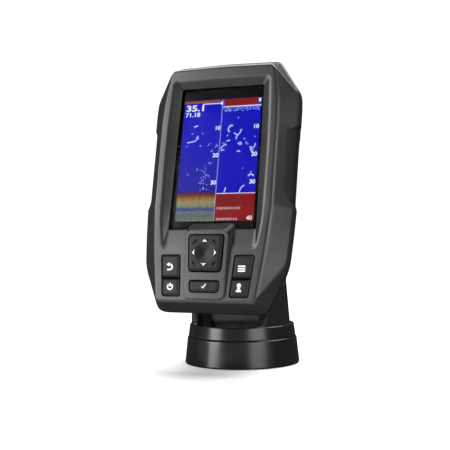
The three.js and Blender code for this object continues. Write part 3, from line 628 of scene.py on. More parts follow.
def bezel_rings():
    """Outside of the bezel from its back edge to the rounded edge of the rim, then its face."""
    rim = rim_ring(RIM_FACE)
    crease = flange_ring(CREASE_DEPTH, 0.5)
    rings = [
        flange_ring(BEZEL_BACK, 0.45), flange_ring(BEZEL_BACK - 0.12, 0.12), flange_ring(BEZEL_BACK - 0.45),
    ]
    rings += bend(flange_ring(CREASE_DEPTH + 0.5, 0.35), crease, mixed(crease, rim, 0.06), 3)
    face = at_depth(rounded(offset(mirrored(RIM_OUTLINE), 1.3)), RIM_FACE)
    rings += bend(mixed(crease, rim, 0.86), rim, face, 6)
    return rings


def bezel_inside():
    rings = [rim_ring(BEZEL_CEILING, 2.2), flange_ring(CREASE_DEPTH, 2.8), flange_ring(BEZEL_BACK + 1, 2.7)]
    return skin("bezel_inside", rings)


def basin_cutter():
    """The recess: rounded over its upper edge, sloping walls, then straight through for the window."""
    top = rounded(mirrored(BASIN_TOP))
    wide = rounded(offset(mirrored(BASIN_TOP), -1.1))
    bottom = rounded(mirrored(BASIN_BOTTOM))
    edge = at_depth(top, RIM_FACE)
    floor = at_depth(bottom, BASIN_FLOOR)
    rings = [at_depth(wide, RIM_FACE - 2)]
    rings += bend(at_depth(wide, RIM_FACE), edge, mixed(edge, floor, 0.25), 5)
    rings += bend(mixed(edge, floor, 0.93), floor, at_depth(bottom, BASIN_FLOOR + 0.25), 2)
    rings += [at_depth(bottom, 14)]
    return skin("basin_cutter", rings)


# A shear that brings the face outwards with height above the island's low end
LEAN = Matrix.Identity(4)
LEAN[1][2] = -ISLAND_SLOPE
LEAN[1][3] = ISLAND_SLOPE * ISLAND_LOW
ISLAND = HEAD @ LEAN


def island():
    """The raised panel round the pad and the select key; it stands prouder towards its top."""
    top = mirrored(ISLAND_TOP)
    foot = at_depth(rounded(mirrored(ISLAND_FOOT)), BEZEL_CEILING - 0.1)
    edge = [LEAN @ point for point in at_depth(rounded(top), ISLAND_FACE)]
    face = [LEAN @ point for point in at_depth(rounded(offset(top, 0.45)), ISLAND_FACE)]
    rings = [foot] + bend(mixed(foot, edge, 0.90), edge, face, 5)
    return skin("island", rings)


# Cutter mouths start a little outside the face, so that none lies exactly in it
CUTTER_OVERLAP = 0.04


def hole_cutter(name, corners, face, matrix=HEAD, flare=0.35, bottom=1.5):
    """A straight hole whose mouth is rounded over."""
    wide = rounded(offset(corners, -flare))
    over = face - CUTTER_OVERLAP
    mouth = at_depth(rounded(corners), over)
    rings = [at_depth(wide, face - 2)]
    rings += bend(at_depth(wide, over), mouth, at_depth(rounded(corners), face + flare), 3)
    rings += [at_depth(rounded(corners), bottom)]
    return skin(name, rings, matrix)


def sided(corners, side):
    if side > 0:
        return list(reversed(corners))
    return [(-x, z, radius) for x, z, radius in corners]


def notch_cutter(side, slack=0.0):
    """The bay in the side of the bezel that the housing's grip comes forward into."""
    corners = [(y + (slack if y < 5 else 0), z - math.copysign(slack, z), 1.2) for y, z in NOTCH]
    near, far = sorted((side * (NOTCH_INNER + slack), side * BEYOND_SIDE))
    return pillow("notch", corners, near, far, 0.01, place=upright)


def screw_spots():
    return [(side * x, z) for x, z in SCREW_POSTS for side in (1, -1)]


def front_bezel():
    bezel = skin("front_bezel", bezel_rings())
    cut(bezel, bezel_inside(), basin_cutter())
    join(bezel, island())
    cut(
        bezel,
        hole_cutter("pad_hole", mirrored(PAD_OUTLINE), ISLAND_FACE, ISLAND),
        hole_cutter("select_hole", mirrored(SELECT_OUTLINE), ISLAND_FACE, ISLAND),
        *[hole_cutter("pocket", sided(POCKET_OUTLINE, side), RIM_FACE) for side in (1, -1)],
        *[notch_cutter(side) for side in (1, -1)],
    )
    finish_piece(bezel, "head", "bezel_plastic", ["front_bezel"])


# ---------- rear housing


def housing_levels(wall):
    """Rings of the housing from front to back, moved inwards by a wall."""
    levels = (
        (HOUSING_FRONT - (1 if wall else 0), 0, 0, 0), (11.5, 0.2, 0.2, 0.2), (14, 1.8, 1.8, 1.8),
        (26 - wall, 5.5, 8, 10), (HOUSING_BACK - wall, *BACK_INSET),
    )
    return [flange_ring(depth, *(inward + wall for inward in insets)) for depth, *insets in levels]


def rear_housing():
    front, belt, shoulder, slope, back = housing_levels(0)
    rings = [
        flange_ring(HOUSING_FRONT, 0.45), flange_ring(HOUSING_FRONT + 0.12, 0.12),
        flange_ring(HOUSING_FRONT + 0.45),
    ]
    rings += bend(mixed(front, belt, 0.75), belt, mixed(belt, shoulder, 0.35), 4)
    rings += bend(mixed(belt, shoulder, 0.7), shoulder, mixed(shoulder, slope, 0.15), 4)
    rings += bend(mixed(shoulder, slope, 0.65), slope, mixed(slope, back, 0.35), 6)
    back_corners = [(x, z, 4) for x, z, _ in mirrored(inset(FLANGE_OUTLINE, *BACK_INSET))]
    face = at_depth(rounded(offset(back_corners, 2.2)), HOUSING_BACK)
    rings += bend(mixed(slope, back, 0.75), back, face, 5)
    housing = skin("rear_housing", rings)
    cut(housing, skin("housing_inside", housing_levels(HOUSING_WALL)))
    stem = block("rail_stem", -12, 12, HOUSING_BACK - 1.5, 37, *RAIL_SPAN)
    rail = block("rail", -15.5, 15.5, 35.4, 38.5, *RAIL_SPAN, 0.8)
    join(housing, stem, rail)
    cutters = []
    for spot in screw_spots():
        cutters += [rod("bore", 3.1, 11.2, BEYOND_BACK, spot), rod("shank_hole", 1.35, 0, 12, spot)]
    cutters += [
        rod("socket_hole", 9.4, 25, BEYOND_BACK, (0, SOCKET_HEIGHT), segments=96),
        rod("vent_recess", 3.3, HOUSING_BACK - 1, BEYOND_BACK, VENT),
    ]
    cut(housing, *cutters)
    finish_piece(housing, "head", "housing_plastic", ["rear_housing"], edge=0.25)


def side_grip(side):
    """The housing's grip: it fills the bay in the bezel, just below the bezel's surface."""
    shrink = 0.55
    rings = [
        rim_ring(RIM_FACE + shrink, shrink), flange_ring(CREASE_DEPTH, 0.5 + shrink),
        flange_ring(HOUSING_FRONT + 0.2, shrink),
    ]
    grip = skin("side_grip_" + ("right" if side > 0 else "left"), rings)
    combine(grip, [notch_cutter(side, GAP)], "INTERSECT")
    finish_piece(grip, "head", "housing_plastic", material=GRIP, edge=0.3)


def vent():
    place = HEAD @ Matrix.Translation((VENT[0], HOUSING_BACK - 0.1, VENT[1])) @ DEEP.inverted()
    membrane = turned("vent_membrane", [(0, 0, 0), (3.0, 0, 0.2), (3.0, 0.6, 0.2), (0, 0.6, 0)], place)
    finish_piece(membrane, "head", "seal_rubber", ["vent_membrane"])


def housing_screws():
    """Screws with a six-lobed drive, each at the bottom of its bore."""
    profile = [
        (0, 1.6, 0), (1.0, 1.6, 0.2), (1.0, 11.5, 0.1), (2.7, 11.5, 0.2), (2.7, 12.9, 1.0), (0, 13.9, 0),
    ]
    for (x, z), level in zip(SCREW_POSTS, ("upper", "middle", "lower")):
        for side, hand in ((1, "right"), (-1, "left")):
            name = f"housing_screw_{level}_{hand}"
            spot = (side * x, z)
            screw = turned(name, profile, into_head(*spot), 40)
            lobes = circle(1.25, 24, spot, wave=0.25)
            cut(screw, skin("drive", [at_depth(lobes, depth) for depth in (12.6, 15)]))
            finish_piece(screw, "head", "steel", [name])


# ---------- cable socket


def cable_socket():
    about_socket = into_head(0, SOCKET_HEIGHT)
    profile = [
        (0, 26.6, 0), (11, 26.6, 0.3), (11, 28, 0.3), (9, 28, 0.2), (9, 36.2, 0.6), (7.1, 36.2, 0.4),
        (7.1, 29.2, 0.3), (0, 29.2, 0),
    ]
    body = turned("socket_body", profile, about_socket)
    ridges = []
    for i in range(4):
        depth = 33 + 0.7 * i
        ridge = [(8.8, depth, 0.1), (9.2, depth + 0.2, 0.1), (8.8, depth + 0.4, 0.1)]
        ridges.append(turned("thread", ridge, about_socket))
    key = block("key_rib", -1.2, 1.2, 29.1, 35.6, SOCKET_HEIGHT + 6, SOCKET_HEIGHT + 8, 0.25)
    join(body, key, *ridges)
    finish_piece(body, "head", "nylon", ["socket_body"])
    nut = pillow("socket_nut", hexagon(12, SOCKET_HEIGHT, 0.8), 32.3, 34.8, 0.35)
    cut(nut, rod("nut_bore", 9.35, 30, BEYOND_BACK, (0, SOCKET_HEIGHT), segments=96))
    finish_piece(nut, "head", "nylon", ["socket_nut"])
    contact = [(0, 29.5, 0), (0.6, 29.5, 0.1), (0.6, 35, 0.5), (0, 35, 0)]
    for i, (x, z) in enumerate(DIAGONALS):
        name = f"contact_pin_{i + 1}"
        pin = turned(name, contact, into_head(3.4 * x, SOCKET_HEIGHT + 3.4 * z), 24)
        finish_piece(pin, "head", "brass", [name])


# ---------- window, display and its picture


# Layers behind the window, from its back face inwards: marks lie between the border and the picture
BORDER_FRONT, BORDER_BACK = -0.52, -0.42
MARK_LOW, MARK_HIGH = -0.40, -0.365
PICTURE_FRONT, PICTURE_BACK = -0.36, -0.31


def sheet(name, half_width, top, bottom, low, high, fillet, radii=(0.2, 0.2)):
    """A thin rectangular sheet in the plane of the face."""
    corners = mirrored([(half_width, top, radii[0]), (half_width, bottom, radii[1])])
    return pillow(name, corners, low, high, fillet)


def screen():
    glass = sheet("screen_glass", 28.5, 46, -41.6, GLASS_FRONT, GLASS_BACK, 0.15, (2, 1))
    finish_piece(glass, "head", "window_glass", ["screen_glass"])
    border = sheet("glass_border", 28.3, 45.8, -41.4, BORDER_FRONT, BORDER_BACK, 0.02, (1.8, 1))
    half_width, half_height = PICTURE_HALF_WIDTH, PICTURE_HALF_HEIGHT
    cut(border, sheet("opening", half_width, half_height, -half_height, -1, 1, 0.01))
    finish_piece(border, "head", "seal_rubber", material=BORDER)
    half_width, half_height = half_width + PICTURE_MARGIN, half_height + PICTURE_MARGIN
    picture = sheet(
        "sonar_picture", half_width, half_height, -half_height, PICTURE_FRONT, PICTURE_BACK, 0.01,
    )
    finish_piece(picture, "head", "display", material=PICTURE)


def strip(points, width):
    """The outline of a flat stroke of that width along the points."""
    left, right = [], []
    for i, point in enumerate(points):
        ahead = points[min(i + 1, len(points) - 1)]
        behind = points[max(i - 1, 0)]
        along = (Vector(ahead) - Vector(behind)).normalized()
        across = Vector((-along.y, along.x)) * width / 2
        left.append(Vector(point) + across)
        right.append(Vector(point) - across)
    return left + right[::-1]


def flat_marks(name, outlines, low, high, material, body, slot, matrix=HEAD):
    """Thin flat shapes lying in the plane of the face."""
    points, faces = [], []
    for outline in outlines:
        start, count = len(points), len(outline)
        for depth in (low, high):
            points += [Vector((x, depth, z)) for x, z in outline]
        for triangle in tessellate_polygon([[Vector((x, z, 0)) for x, z in outline]]):
            faces.append(tuple(start + i for i in triangle))
            faces.append(tuple(start + count + i for i in reversed(triangle)))
        for i in range(count):
            j = (i + 1) % count
            faces.append((start + i, start + j, start + count + j, start + count + i))
    piece = mesh_object(name, points, faces, matrix)
    finish_piece(piece, body, slot, material=material)


def rectangle(x0, x1, z0, z1):
    return [(x0, z0), (x1, z0), (x1, z1), (x0, z1)]


def arc(centre, radius, start, end, width, steps=10, squash=1.0):
    points = []
    for step in range(steps + 1):
        angle = math.radians(start + (end - start) * step / steps)
        points.append((centre[0] + radius * math.cos(angle), centre[1] + radius * squash * math.sin(angle)))
    return strip(points, width)


def blob(centre, radius, sides=8):
    """A small uneven patch of echo."""
    turn = RANDOM.uniform(0, math.pi)
    outline = []
    for i in range(sides):
        angle = turn + 2 * math.pi * i / sides
        reach = radius * RANDOM.uniform(0.6, 1.2)
        outline.append((centre[0] + reach * math.cos(angle), centre[1] + 0.8 * reach * math.sin(angle)))
    return outline


def in_picture(outline):
    return all(abs(p[0]) < PICTURE_HALF_WIDTH and abs(p[1]) < PICTURE_HALF_HEIGHT for p in outline)


def figures(name, text, x, z, size=3.4, stretch=1.05, weight=0.09):
    """Figures on the display, made from the built-in typeface."""
    letters = bpy.data.curves.new(name, "FONT")
    letters.body = text
    letters.size = size
    letters.extrude = (MARK_HIGH - MARK_LOW) / 2
    letters.offset = weight
    writing = placed(name, letters)
    graph = bpy.context.evaluated_depsgraph_get()
    mesh = bpy.data.meshes.new_from_object(writing.evaluated_get(graph))
    bpy.data.objects.remove(writing)
    standing = DEEP.inverted() @ Matrix.Diagonal((stretch, 1, 1, 1))
    mesh.transform(HEAD @ Matrix.Translation((x, (MARK_LOW + MARK_HIGH) / 2, z)) @ standing)
    finish_piece(placed(name, mesh), "head", "display", material=FIGURE)


# Strokes of echo: points across and up from the picture's middle
FISH_ECHOES = [
    [(-14.2, 15.0), (-15.0, 12.6), (-16.6, 11.6), (-18.6, 11.3), (-20.9, 11.0)],
    [(13.0, 17.8), (12.4, 15.8), (11.2, 14.5), (9.9, 14.8), (8.7, 15.9)],
    [(11.2, 14.5), (10.4, 13.4), (10.1, 11.9)], [(11.4, 9.6), (12.6, 8.7), (14.0, 8.9)],
    [(12.4, 10.2), (13.6, 9.6)], [(4.4, 11.0), (6.4, 11.4)], [(19.0, 7.2), (20.4, 5.4)],
    [(20.6, 7.0), (19.6, 4.9), (21.2, 4.0)], [(22.4, 9.0), (21.8, 6.6)],
    [(0.8, 6.8), (3.0, 8.8), (4.4, 8.7)], [(0.9, 5.4), (3.2, 5.7)],
    [(5.9, -16.9), (5.5, -18.6), (5.0, -19.9)], [(17.4, -15.8), (15.9, -16.7), (15.0, -18.2), (14.6, -20.0)],
]
# Arches of echo: centre, radius, first and last angle
FISH_ARCHES = [
    ((7.3, 18.2), 2.5, 80, 235), ((21.0, -10.9), 1.7, 165, 15), ((12.1, 3.9), 1.0, 150, 10),
    ((-15.7, 19.6), 1.7, 150, 60),
]
# Loose patches of echo: across, up, spread, count
ECHO_CLUSTERS = [
    (-18.0, 16.2, 0.5, 3), (-11.4, 16.0, 0.6, 4), (-14.6, 13.4, 0.8, 5), (-11.8, 8.8, 0.6, 5),
    (-7.0, 9.0, 0.9, 4), (-2.2, 8.4, 0.9, 6), (-4.7, 5.6, 0.8, 5), (-21.2, 8.8, 0.4, 2),
    (-5.5, -2.6, 1.8, 6), (-8.6, -6.2, 2.2, 10), (-6.0, -9.6, 2.0, 10), (-9.2, -12.2, 2.4, 14),
    (-8.2, -16.4, 2.2, 12), (-13.2, -5.8, 0.8, 3), (-20.0, -9.0, 1.6, 3), (10.4, 24.8, 0.5, 3),
    (13.0, 17.6, 0.5, 4), (10.0, 13.2, 1.0, 5), (15.8, 12.0, 0.8, 4), (17.2, 9.2, 1.0, 6),
    (12.6, 9.0, 1.0, 6), (22.2, 12.8, 0.6, 3), (21.0, 6.0, 1.2, 8), (12.0, 4.6, 0.7, 4),
    (2.6, 9.6, 1.0, 5), (1.8, 5.8, 0.9, 5), (15.6, -5.6, 0.8, 2), (20.6, -7.6, 0.8, 3),
    (6.0, 20.4, 1.0, 5), (4.8, 14.0, 1.0, 3),
]


def marks(name, outlines, material):
    """Shapes on the display, without those that reach past its edge."""
    inside = [outline for outline in outlines if in_picture(outline)]
    flat_marks(name, inside, MARK_LOW, MARK_HIGH, material, "head", "display")


def sonar_marks():
    """The display's bars, lines, echoes and figures, in the order that the random draws need."""
    half_x, half_z = PICTURE_HALF_WIDTH - 0.05, PICTURE_HALF_HEIGHT - 0.05
    marks("surface_echo_right", [rectangle(1.2, half_x - 2.0, 32.6, half_z)], BAR_RED)
    marks("surface_echo_left", [rectangle(-half_x, -1.2, 35.2, half_z)], BAR_ORANGE)
    marks("surface_lines", [
        rectangle(0.6, half_x, 31.7, 32.3), rectangle(-12.5, -0.6, 34.2, 34.7),
        rectangle(0.6, half_x, -20.6, -20.2),
        rectangle(half_x - 1.7, half_x - 0.3, 34.2, 36.2), rectangle(-1.2, 0.2, 33.6, 35.4),
    ], FIGURE)
    marks("divider", [rectangle(-0.22, 0.22, -half_z, half_z)], DIVIDER)

    clutter = []
    for _ in range(70):
        spot = (RANDOM.uniform(1.5, 23.5), 29.9 + RANDOM.uniform(-0.8, 1.2))
        clutter.append(blob(spot, RANDOM.uniform(0.2, 0.5)))
    marks("surface_clutter", clutter, ECHO)
    marks("fish_echoes", [strip(points, 0.62) for points in FISH_ECHOES], ECHO_PALE)
    marks("fish_arches", [arc(c, r, a, b, 0.7, squash=0.85) for c, r, a, b in FISH_ARCHES], ECHO_PALE)

    patches = []
    for x, z, spread, count in ECHO_CLUSTERS:
        for _ in range(count):
            spot = (x + RANDOM.gauss(0, spread * 0.5), z + RANDOM.gauss(0, spread * 0.5))
            patches.append(blob(spot, RANDOM.uniform(0.2, 0.46)))
    marks("echo_patches", patches, ECHO)

    dashes = []
    for height, end in ((-29.8, 15.2), (-36.2, 14.8)):
        x = 1.4
        while x < end:
            width = RANDOM.uniform(0.7, 1.2)
            dashes.append(rectangle(x, x + width, height, height + 1.3))
            x += 1.5
    marks("placeholder_bars", dashes, PALE_BAR)

    figures("depth_figures", "35.1", -23.6, 30.4, 5.2, 1.45, 0.16)
    figures("temperature_figures", "71.18", -23.6, 26.9, 3.6, 1.2, 0.08)
    for i, height in enumerate((18.1, 1.5, -14.9)):
        for side, x in (("left", -3.9), ("right", 20.3)):
            figures(f"scale_{side}_{i + 1}", str(10 * (i + 1)), x, height)
    figures("scale_right_4", "40", 20.0, -36.1)


# ---------- keys

SIDE_KEY_FACE = -6.3
SELECT_FACE = -7.0
KEY_SEAM = 0.25
ICON_LIFT = 0.07
ICON_ROOT = 0.2


def key_cap(name, corners, face, bevel, matrix=HEAD):
    """A key with its retaining skirt and a chamfer softened at both its edges."""
    skirt = rounded(offset(corners, -0.7))
    wall = rounded(offset(corners, GAP))
    rings = [at_depth(skirt, -0.2), at_depth(skirt, -1.2), at_depth(wall, -1.2)]
    outer = at_depth(wall, face + bevel)
    inner = at_depth(rounded(offset(corners, GAP + bevel)), face)
    level = at_depth(rounded(offset(corners, GAP + bevel * 1.4)), face)
    rings += bend(at_depth(wall, face + bevel * 1.4), outer, mixed(outer, inner, 0.3), 3)
    rings += bend(mixed(outer, inner, 0.65), inner, level, 3)
    key = skin(name, rings, matrix)
    finish_piece(key, name, "key_plastic", [name])


def side_key_corners(side, top, bottom):
    """The part of a pocket's outline between two heights, with slightly tighter corners."""
    inner_top, outer_top, outer_bottom, inner_bottom = (x for x, _, _ in POCKET_OUTLINE)

    def corner(at_top, at_bottom, height, radius):
        share = (POCKET_TOP - height) / (POCKET_TOP - POCKET_BOTTOM)
        return (at_top + (at_bottom - at_top) * share, height, radius)

    return sided([
        corner(inner_top, inner_bottom, top, 1.3), corner(outer_top, outer_bottom, top, 1.5),
        corner(outer_top, outer_bottom, bottom, 1.5), corner(inner_top, inner_bottom, bottom, 1.3),
    ], side)


def side_keys():
    """Two keys share each pocket, with a seam between them."""
    upper = (POCKET_TOP, POCKET_SPLIT + KEY_SEAM - GAP)
    lower = (POCKET_SPLIT - KEY_SEAM + GAP, POCKET_BOTTOM)
    for name, side, span in (
        ("key_back", -1, upper), ("key_power", -1, lower), ("key_menu", 1, upper), ("key_mark", 1, lower),
    ):
        key_cap(name, side_key_corners(side, *span), SIDE_KEY_FACE, 1.1)


def select_key():
    key_cap("key_select", mirrored(SELECT_OUTLINE), SELECT_FACE, 0.9, ISLAND)


def icon(key, outlines, centre, face=SIDE_KEY_FACE, matrix=HEAD):
    """Print on a key: flat shapes drawn about the origin and moved to their place on the key."""
    shapes = [[(centre[0] + x, centre[1] + z) for x, z in outline] for outline in outlines]
    low, high = face - ICON_LIFT, face + ICON_ROOT
    flat_marks(f"icon_{key}", shapes, low, high, ICON, f"key_{key}", "key_plastic", matrix)


def key_icons():
    hook = [arc((0, 0), 1.55, -90, 90, 0.95), strip([(-1.5, -1.55), (0, -1.55)], 0.95)]
    arrowhead = [(-0.2, 2.75), (-2.3, 1.5), (-0.2, 0.3)]
    icon("back", [*hook, arrowhead], (-22.4, -64.6))
    icon("power", [arc((0, 0), 1.55, 118, 422, 0.85, 18), strip([(0, 0.1), (0, 2.2)], 0.75)], (-21.2, -76.0))
    icon("menu", [rectangle(-2.2, 2.2, z - 0.42, z + 0.42) for z in (1.35, 0, -1.35)], (21.9, -65.2))
    figure = [circle(1.25, 24, (0, 1.35)), rectangle(-0.85, 0.85, -1.0, 0.75)]
    icon("mark", [*figure, rectangle(-1.5, 1.5, -2.3, -1.2)], (21.0, -76.0))
    tick = [(-1.2, -0.1), (-0.5, -1.1), (1.2, 1.3)]
    icon("select", [strip(tick, 0.7)], (0.2, -75.5), SELECT_FACE, ISLAND)


PAD_TOP = -8.0
PAD_DIRECTIONS = ((0, 1), (0, -1), (1, 0), (-1, 0))
PAD_REACH = 6.5
PAD_DISH = 1.0
SLOT_REACH = 6.1


def bowl(half):
    """One level of the pad's sunken centre: a square with very round corners."""
    return rounded(mirrored([(half, PAD_CENTRE + half, half * 0.9), (half, PAD_CENTRE - half, half * 0.9)]))


def pad_cap():
    """Square rocker: rounded rim, sunken centre, four raised lenses and four slots between them."""
    corners = offset(mirrored(PAD_OUTLINE), 0.5)
    wall = rounded(corners)
    edge = at_depth(wall, PAD_TOP)
    inner = at_depth(rounded(offset(corners, 2.0)), PAD_TOP)
    rings = [at_depth(wall, -1.2)] + bend(at_depth(wall, PAD_TOP + 1.6), edge, inner, 6)
    cap = skin("dpad_cap", rings, ISLAND)
    wide, middle, floor = bowl(6.4), bowl(4.8), bowl(0.8)
    rings = [at_depth(wide, PAD_TOP - 1)]
    rings += bend(at_depth(wide, PAD_TOP - CUTTER_OVERLAP), at_depth(middle, PAD_TOP),
                  at_depth(floor, PAD_TOP + PAD_DISH), 8)
    cut(cap, skin("dish", rings, ISLAND))
    slots = []
    for x, z in DIAGONALS:
        centre = Vector((x * SLOT_REACH, PAD_CENTRE + z * SLOT_REACH))
        along, across = Vector((z, -x)).normalized() * 1.5, Vector((x, z)).normalized() * 0.55
        spots = [centre + along * a + across * c for a, c in ((-1, -1), (1, -1), (1, 1), (-1, 1))]
        slot = [(spot.x, spot.y, 0.5) for spot in spots]
        slots.append(pillow("slot", slot, PAD_TOP - 1, PAD_TOP + 1, 0.2, ISLAND))
    cut(cap, *slots)
    join(cap, *[pad_lens(x, z) for x, z in PAD_DIRECTIONS])
    finish_piece(cap, "dpad_cap", "key_plastic", ["dpad_cap"])


def pad_lens(x, z):
    """A low dome, longer across the direction it stands for."""
    centre = Vector((x * PAD_REACH, PAD_CENTRE + z * PAD_REACH))
    long_half, short_half = 2.6, 1.65
    half_x, half_z = (short_half, long_half) if x else (long_half, short_half)
    rings = []
    for level in range(6):
        angle = math.pi / 2 * level / 5.5
        share, rise = math.cos(angle), math.sin(angle)
        outline = [centre + Vector((half_x * p.x, half_z * p.y)) * share for p in circle(1, 32)]
        rings.append(at_depth(outline, PAD_TOP + 0.5 - 0.9 * rise))
    return skin("lens", rings, ISLAND)


def pad_arrows():
    """A barbed arrowhead on each lens, drawn anticlockwise from its tip."""
    outlines = []
    for x, z in PAD_DIRECTIONS:
        ahead, across = Vector((x, z)), Vector((-z, x))
        centre = Vector((0, PAD_CENTRE)) + ahead * (PAD_REACH + 0.1)
        back = centre - ahead * 0.65
        outlines.append([
            centre + ahead * 0.85, back + across * 1.55, centre - ahead * 0.35, back - across * 1.55,
        ])
    low, high = PAD_TOP - 0.45, PAD_TOP - 0.1
    flat_marks("icon_arrows", outlines, low, high, ICON, "dpad_cap", "key_plastic", ISLAND)


# ---------- swivel base and yoke

RING_TOP = 23.9
ARM_OUTER = 25.0
ARM_INNER = 19.5
ARM_ROUND = 13.0
BOLT_BORE = 3.2
SCREW_CIRCLE = 22


def swivel_base():
    """The round base with its floor's skirt and the plate that closes it."""
    profile = [
        (32.2, 0, 0.2), (34.7, 0, 0.5), (35.0, 0.7, 0.5), (33.4, 15.5, 0.5), (32.8, 16.3, 0.3),
        (30.4, 16.3, 0.2), (30.8, 4.6, 0.8), (13, 4.6, 0.8), (13, 12.4, 0.4), (2.2, 12.4, 0.2),
        (2.2, 9.6, 0.2), (10.5, 9.6, 0.4), (10.5, 1.8, 0.3), (32.2, 1.8, 0.2),
    ]
    base = turned("swivel_base", profile, segments=160)
    finish_piece(base, "base", "mount_plastic", ["swivel_base"])
    plate = turned("base_plate", [(0, 0, 0), (31.9, 0, 0.3), (31.9, 1.5, 0.3), (0, 1.5, 0)], segments=120)
    holes = []
    for x, y in DIAGONALS:
        spot = Vector((x, y, 0)).normalized() * SCREW_CIRCLE
        holes.append(drill("hole", 2.4, -1, 3, FIXED @ Matrix.Translation(spot), 32))
    cut(plate, *holes)
    finish_piece(plate, "base", "seal_rubber", ["base_plate"])


def arm_corners():
    """The side view of one arm, anticlockwise, with its round head about the pivot."""
    corners = [(-24.4, 20.9, 0.1), (19.6, 20.9, 0.1), (18.4, RING_TOP + 1.2, 1.2), (12.8, 49, 0.5)]
    for step in range(9):
        angle = math.pi * step / 8
        corners.append((ARM_ROUND * math.cos(angle), PIVOT_HEIGHT + ARM_ROUND * math.sin(angle), 2.4))
    corners += [(-ARM_ROUND, PIVOT_HEIGHT - 2, 2), (-18.9, 40, 5), (-20.2, 33, 6)]
    corners += [(-22.4, RING_TOP + 1.5, 1.4), (-24.2, RING_TOP + 0.5, 0.6)]
    return corners


def within_ring():
    """The turntable's own edge carried upwards: the arms stay inside it."""
    return drill("within_ring", 31.6, 10, 80, segments=160)


def yoke():
    """The turntable with its two arms and the web between them."""
    profile = [
        (0, RING_TOP, 0), (31.8, RING_TOP, 0.7), (32.8, 16.6, 0.25), (29.9, 16.6, 0.2), (28.8, 19.2, 1.0),
        (10, 19.2, 0.8), (10, 13.9, 0.3), (1.55, 13.9, 0.2), (1.55, 18.5, 0.2), (0, 18.5, 0),
    ]
    body = turned("yoke", profile, segments=160)
    recess = turned("recess", [(0, 21.9, 0), (28.9, 21.9, 0.6), (29.2, 25, 0.1), (0, 25, 0)], segments=120)
    between_arms = block("between", -ARM_INNER - 1, ARM_INNER + 1, -40, 40, 0, 40, 0.1, FIXED)
    combine(recess, [between_arms], "INTERSECT")
    cut(body, recess)
    arms = [
        pillow("arm", arm_corners(), ARM_INNER, ARM_OUTER, 1.1, FIXED, upright, 0.7),
        pillow("arm", arm_corners(), -ARM_OUTER, -ARM_INNER, 0.7, FIXED, upright, 1.1),
    ]
    for arm in arms:
        combine(arm, [within_ring()], "INTERSECT")
    web = block("web", -16, 16, -11, -7.4, 20.9, 37, 0.7, FIXED)
    join(body, *arms, web)
    cut(body, drill("bolt_hole", BOLT_BORE - 0.1, -30, 30, along_pivot()))
    finish_piece(body, "yoke", "mount_plastic", ["yoke"], sharp=30)


# ---------- pivot bolt and knob

KNOB_INNER = -26.4
KNOB_OUTER = -38.4


def tilt_bolt():
    profile = [
        (0, KNOB_OUTER + 3, 0), (2.9, KNOB_OUTER + 3, 0.3), (2.9, ARM_OUTER + 0.3, 0.1),
        (5.8, ARM_OUTER + 0.3, 0.2), (5.8, ARM_OUTER + 2.0, 1.2), (0, ARM_OUTER + 2.8, 0),
    ]
    bolt = turned("tilt_bolt", profile, along_pivot(), 72)
    socket = hexagon(2.2, PIVOT_HEIGHT, 0.1)
    cut(bolt, pillow("hex", socket, ARM_OUTER + 1.2, ARM_OUTER + 4, 0.05, FIXED, upright))
    finish_piece(bolt, "yoke", "steel", ["tilt_bolt"])


def tilt_knob():
    def lobed(radius, depth):
        outline = circle(radius, 144, (0, PIVOT_HEIGHT), wave=0.9)
        return [upright(point.x, point.y, depth) for point in outline]

    outer, inner = KNOB_OUTER, KNOB_INNER
    rings = bend(lobed(5.6, outer), lobed(9.9, outer), lobed(10.4, outer + 3.4), 7)
    rings += bend(lobed(9.9, inner - 3.4), lobed(9.8, inner - 2.4), lobed(7.9, inner - 2.2), 4)
    rings += bend(lobed(7.5, inner - 1.8), lobed(7.3, inner), lobed(6.7, inner), 3)
    knob = skin("tilt_knob", rings, FIXED)
    nut = hexagon(5.4, PIVOT_HEIGHT, 0.1)
    pocket = pillow("pocket", nut, KNOB_INNER - 5, KNOB_INNER + 2, 0.05, FIXED, upright)
    cut(knob, pocket, drill("bore", BOLT_BORE, KNOB_OUTER + 2.4, 0, along_pivot()))
    finish_piece(knob, "tilt_knob", "mount_plastic", ["tilt_knob"])


# ---------- cradle and latch


def cradle():
    """The sleeve on the tilt barrel that the head's rail slides down into."""
    depth, height = PIVOT_IN_HEAD.y, PIVOT_IN_HEAD.z
    half = ARM_INNER - 1.2
    body = block("cradle", -half, half, 32.8, 42.4, -68, -16, 1)
    barrel = turned("barrel", [(0, -half, 0), (8.3, -half, 0.5), (8.3, half, 0.5), (0, half, 0)],
                    along_pivot(), 96)
    neck = block("neck", -half + 0.2, half - 0.2, 40, depth, height - 5, height + 5, 0.8)
    ribs = [block("rib", x - 0.7, x + 0.7, 41.5, 43.6, -52, -38, 0.5) for x in (-14, -10.5, 10.5, 14)]
    join(body, barrel, neck, *ribs)
    cut(
        body, drill("bore", BOLT_BORE, -30, 30, along_pivot()),
        block("stem_slot", -12.4, 12.4, 30, 38.5, -64.4, 5, 0.3),
        block("flange_slot", -15.9, 15.9, 35.0, 38.9, -64.4, 5, 0.3),
        block("latch_slot", -7.4, 7.4, 38, 45, -37, -15, 0.4),
    )
    finish_piece(body, "cradle", "mount_plastic", ["cradle"], edge=0.2)


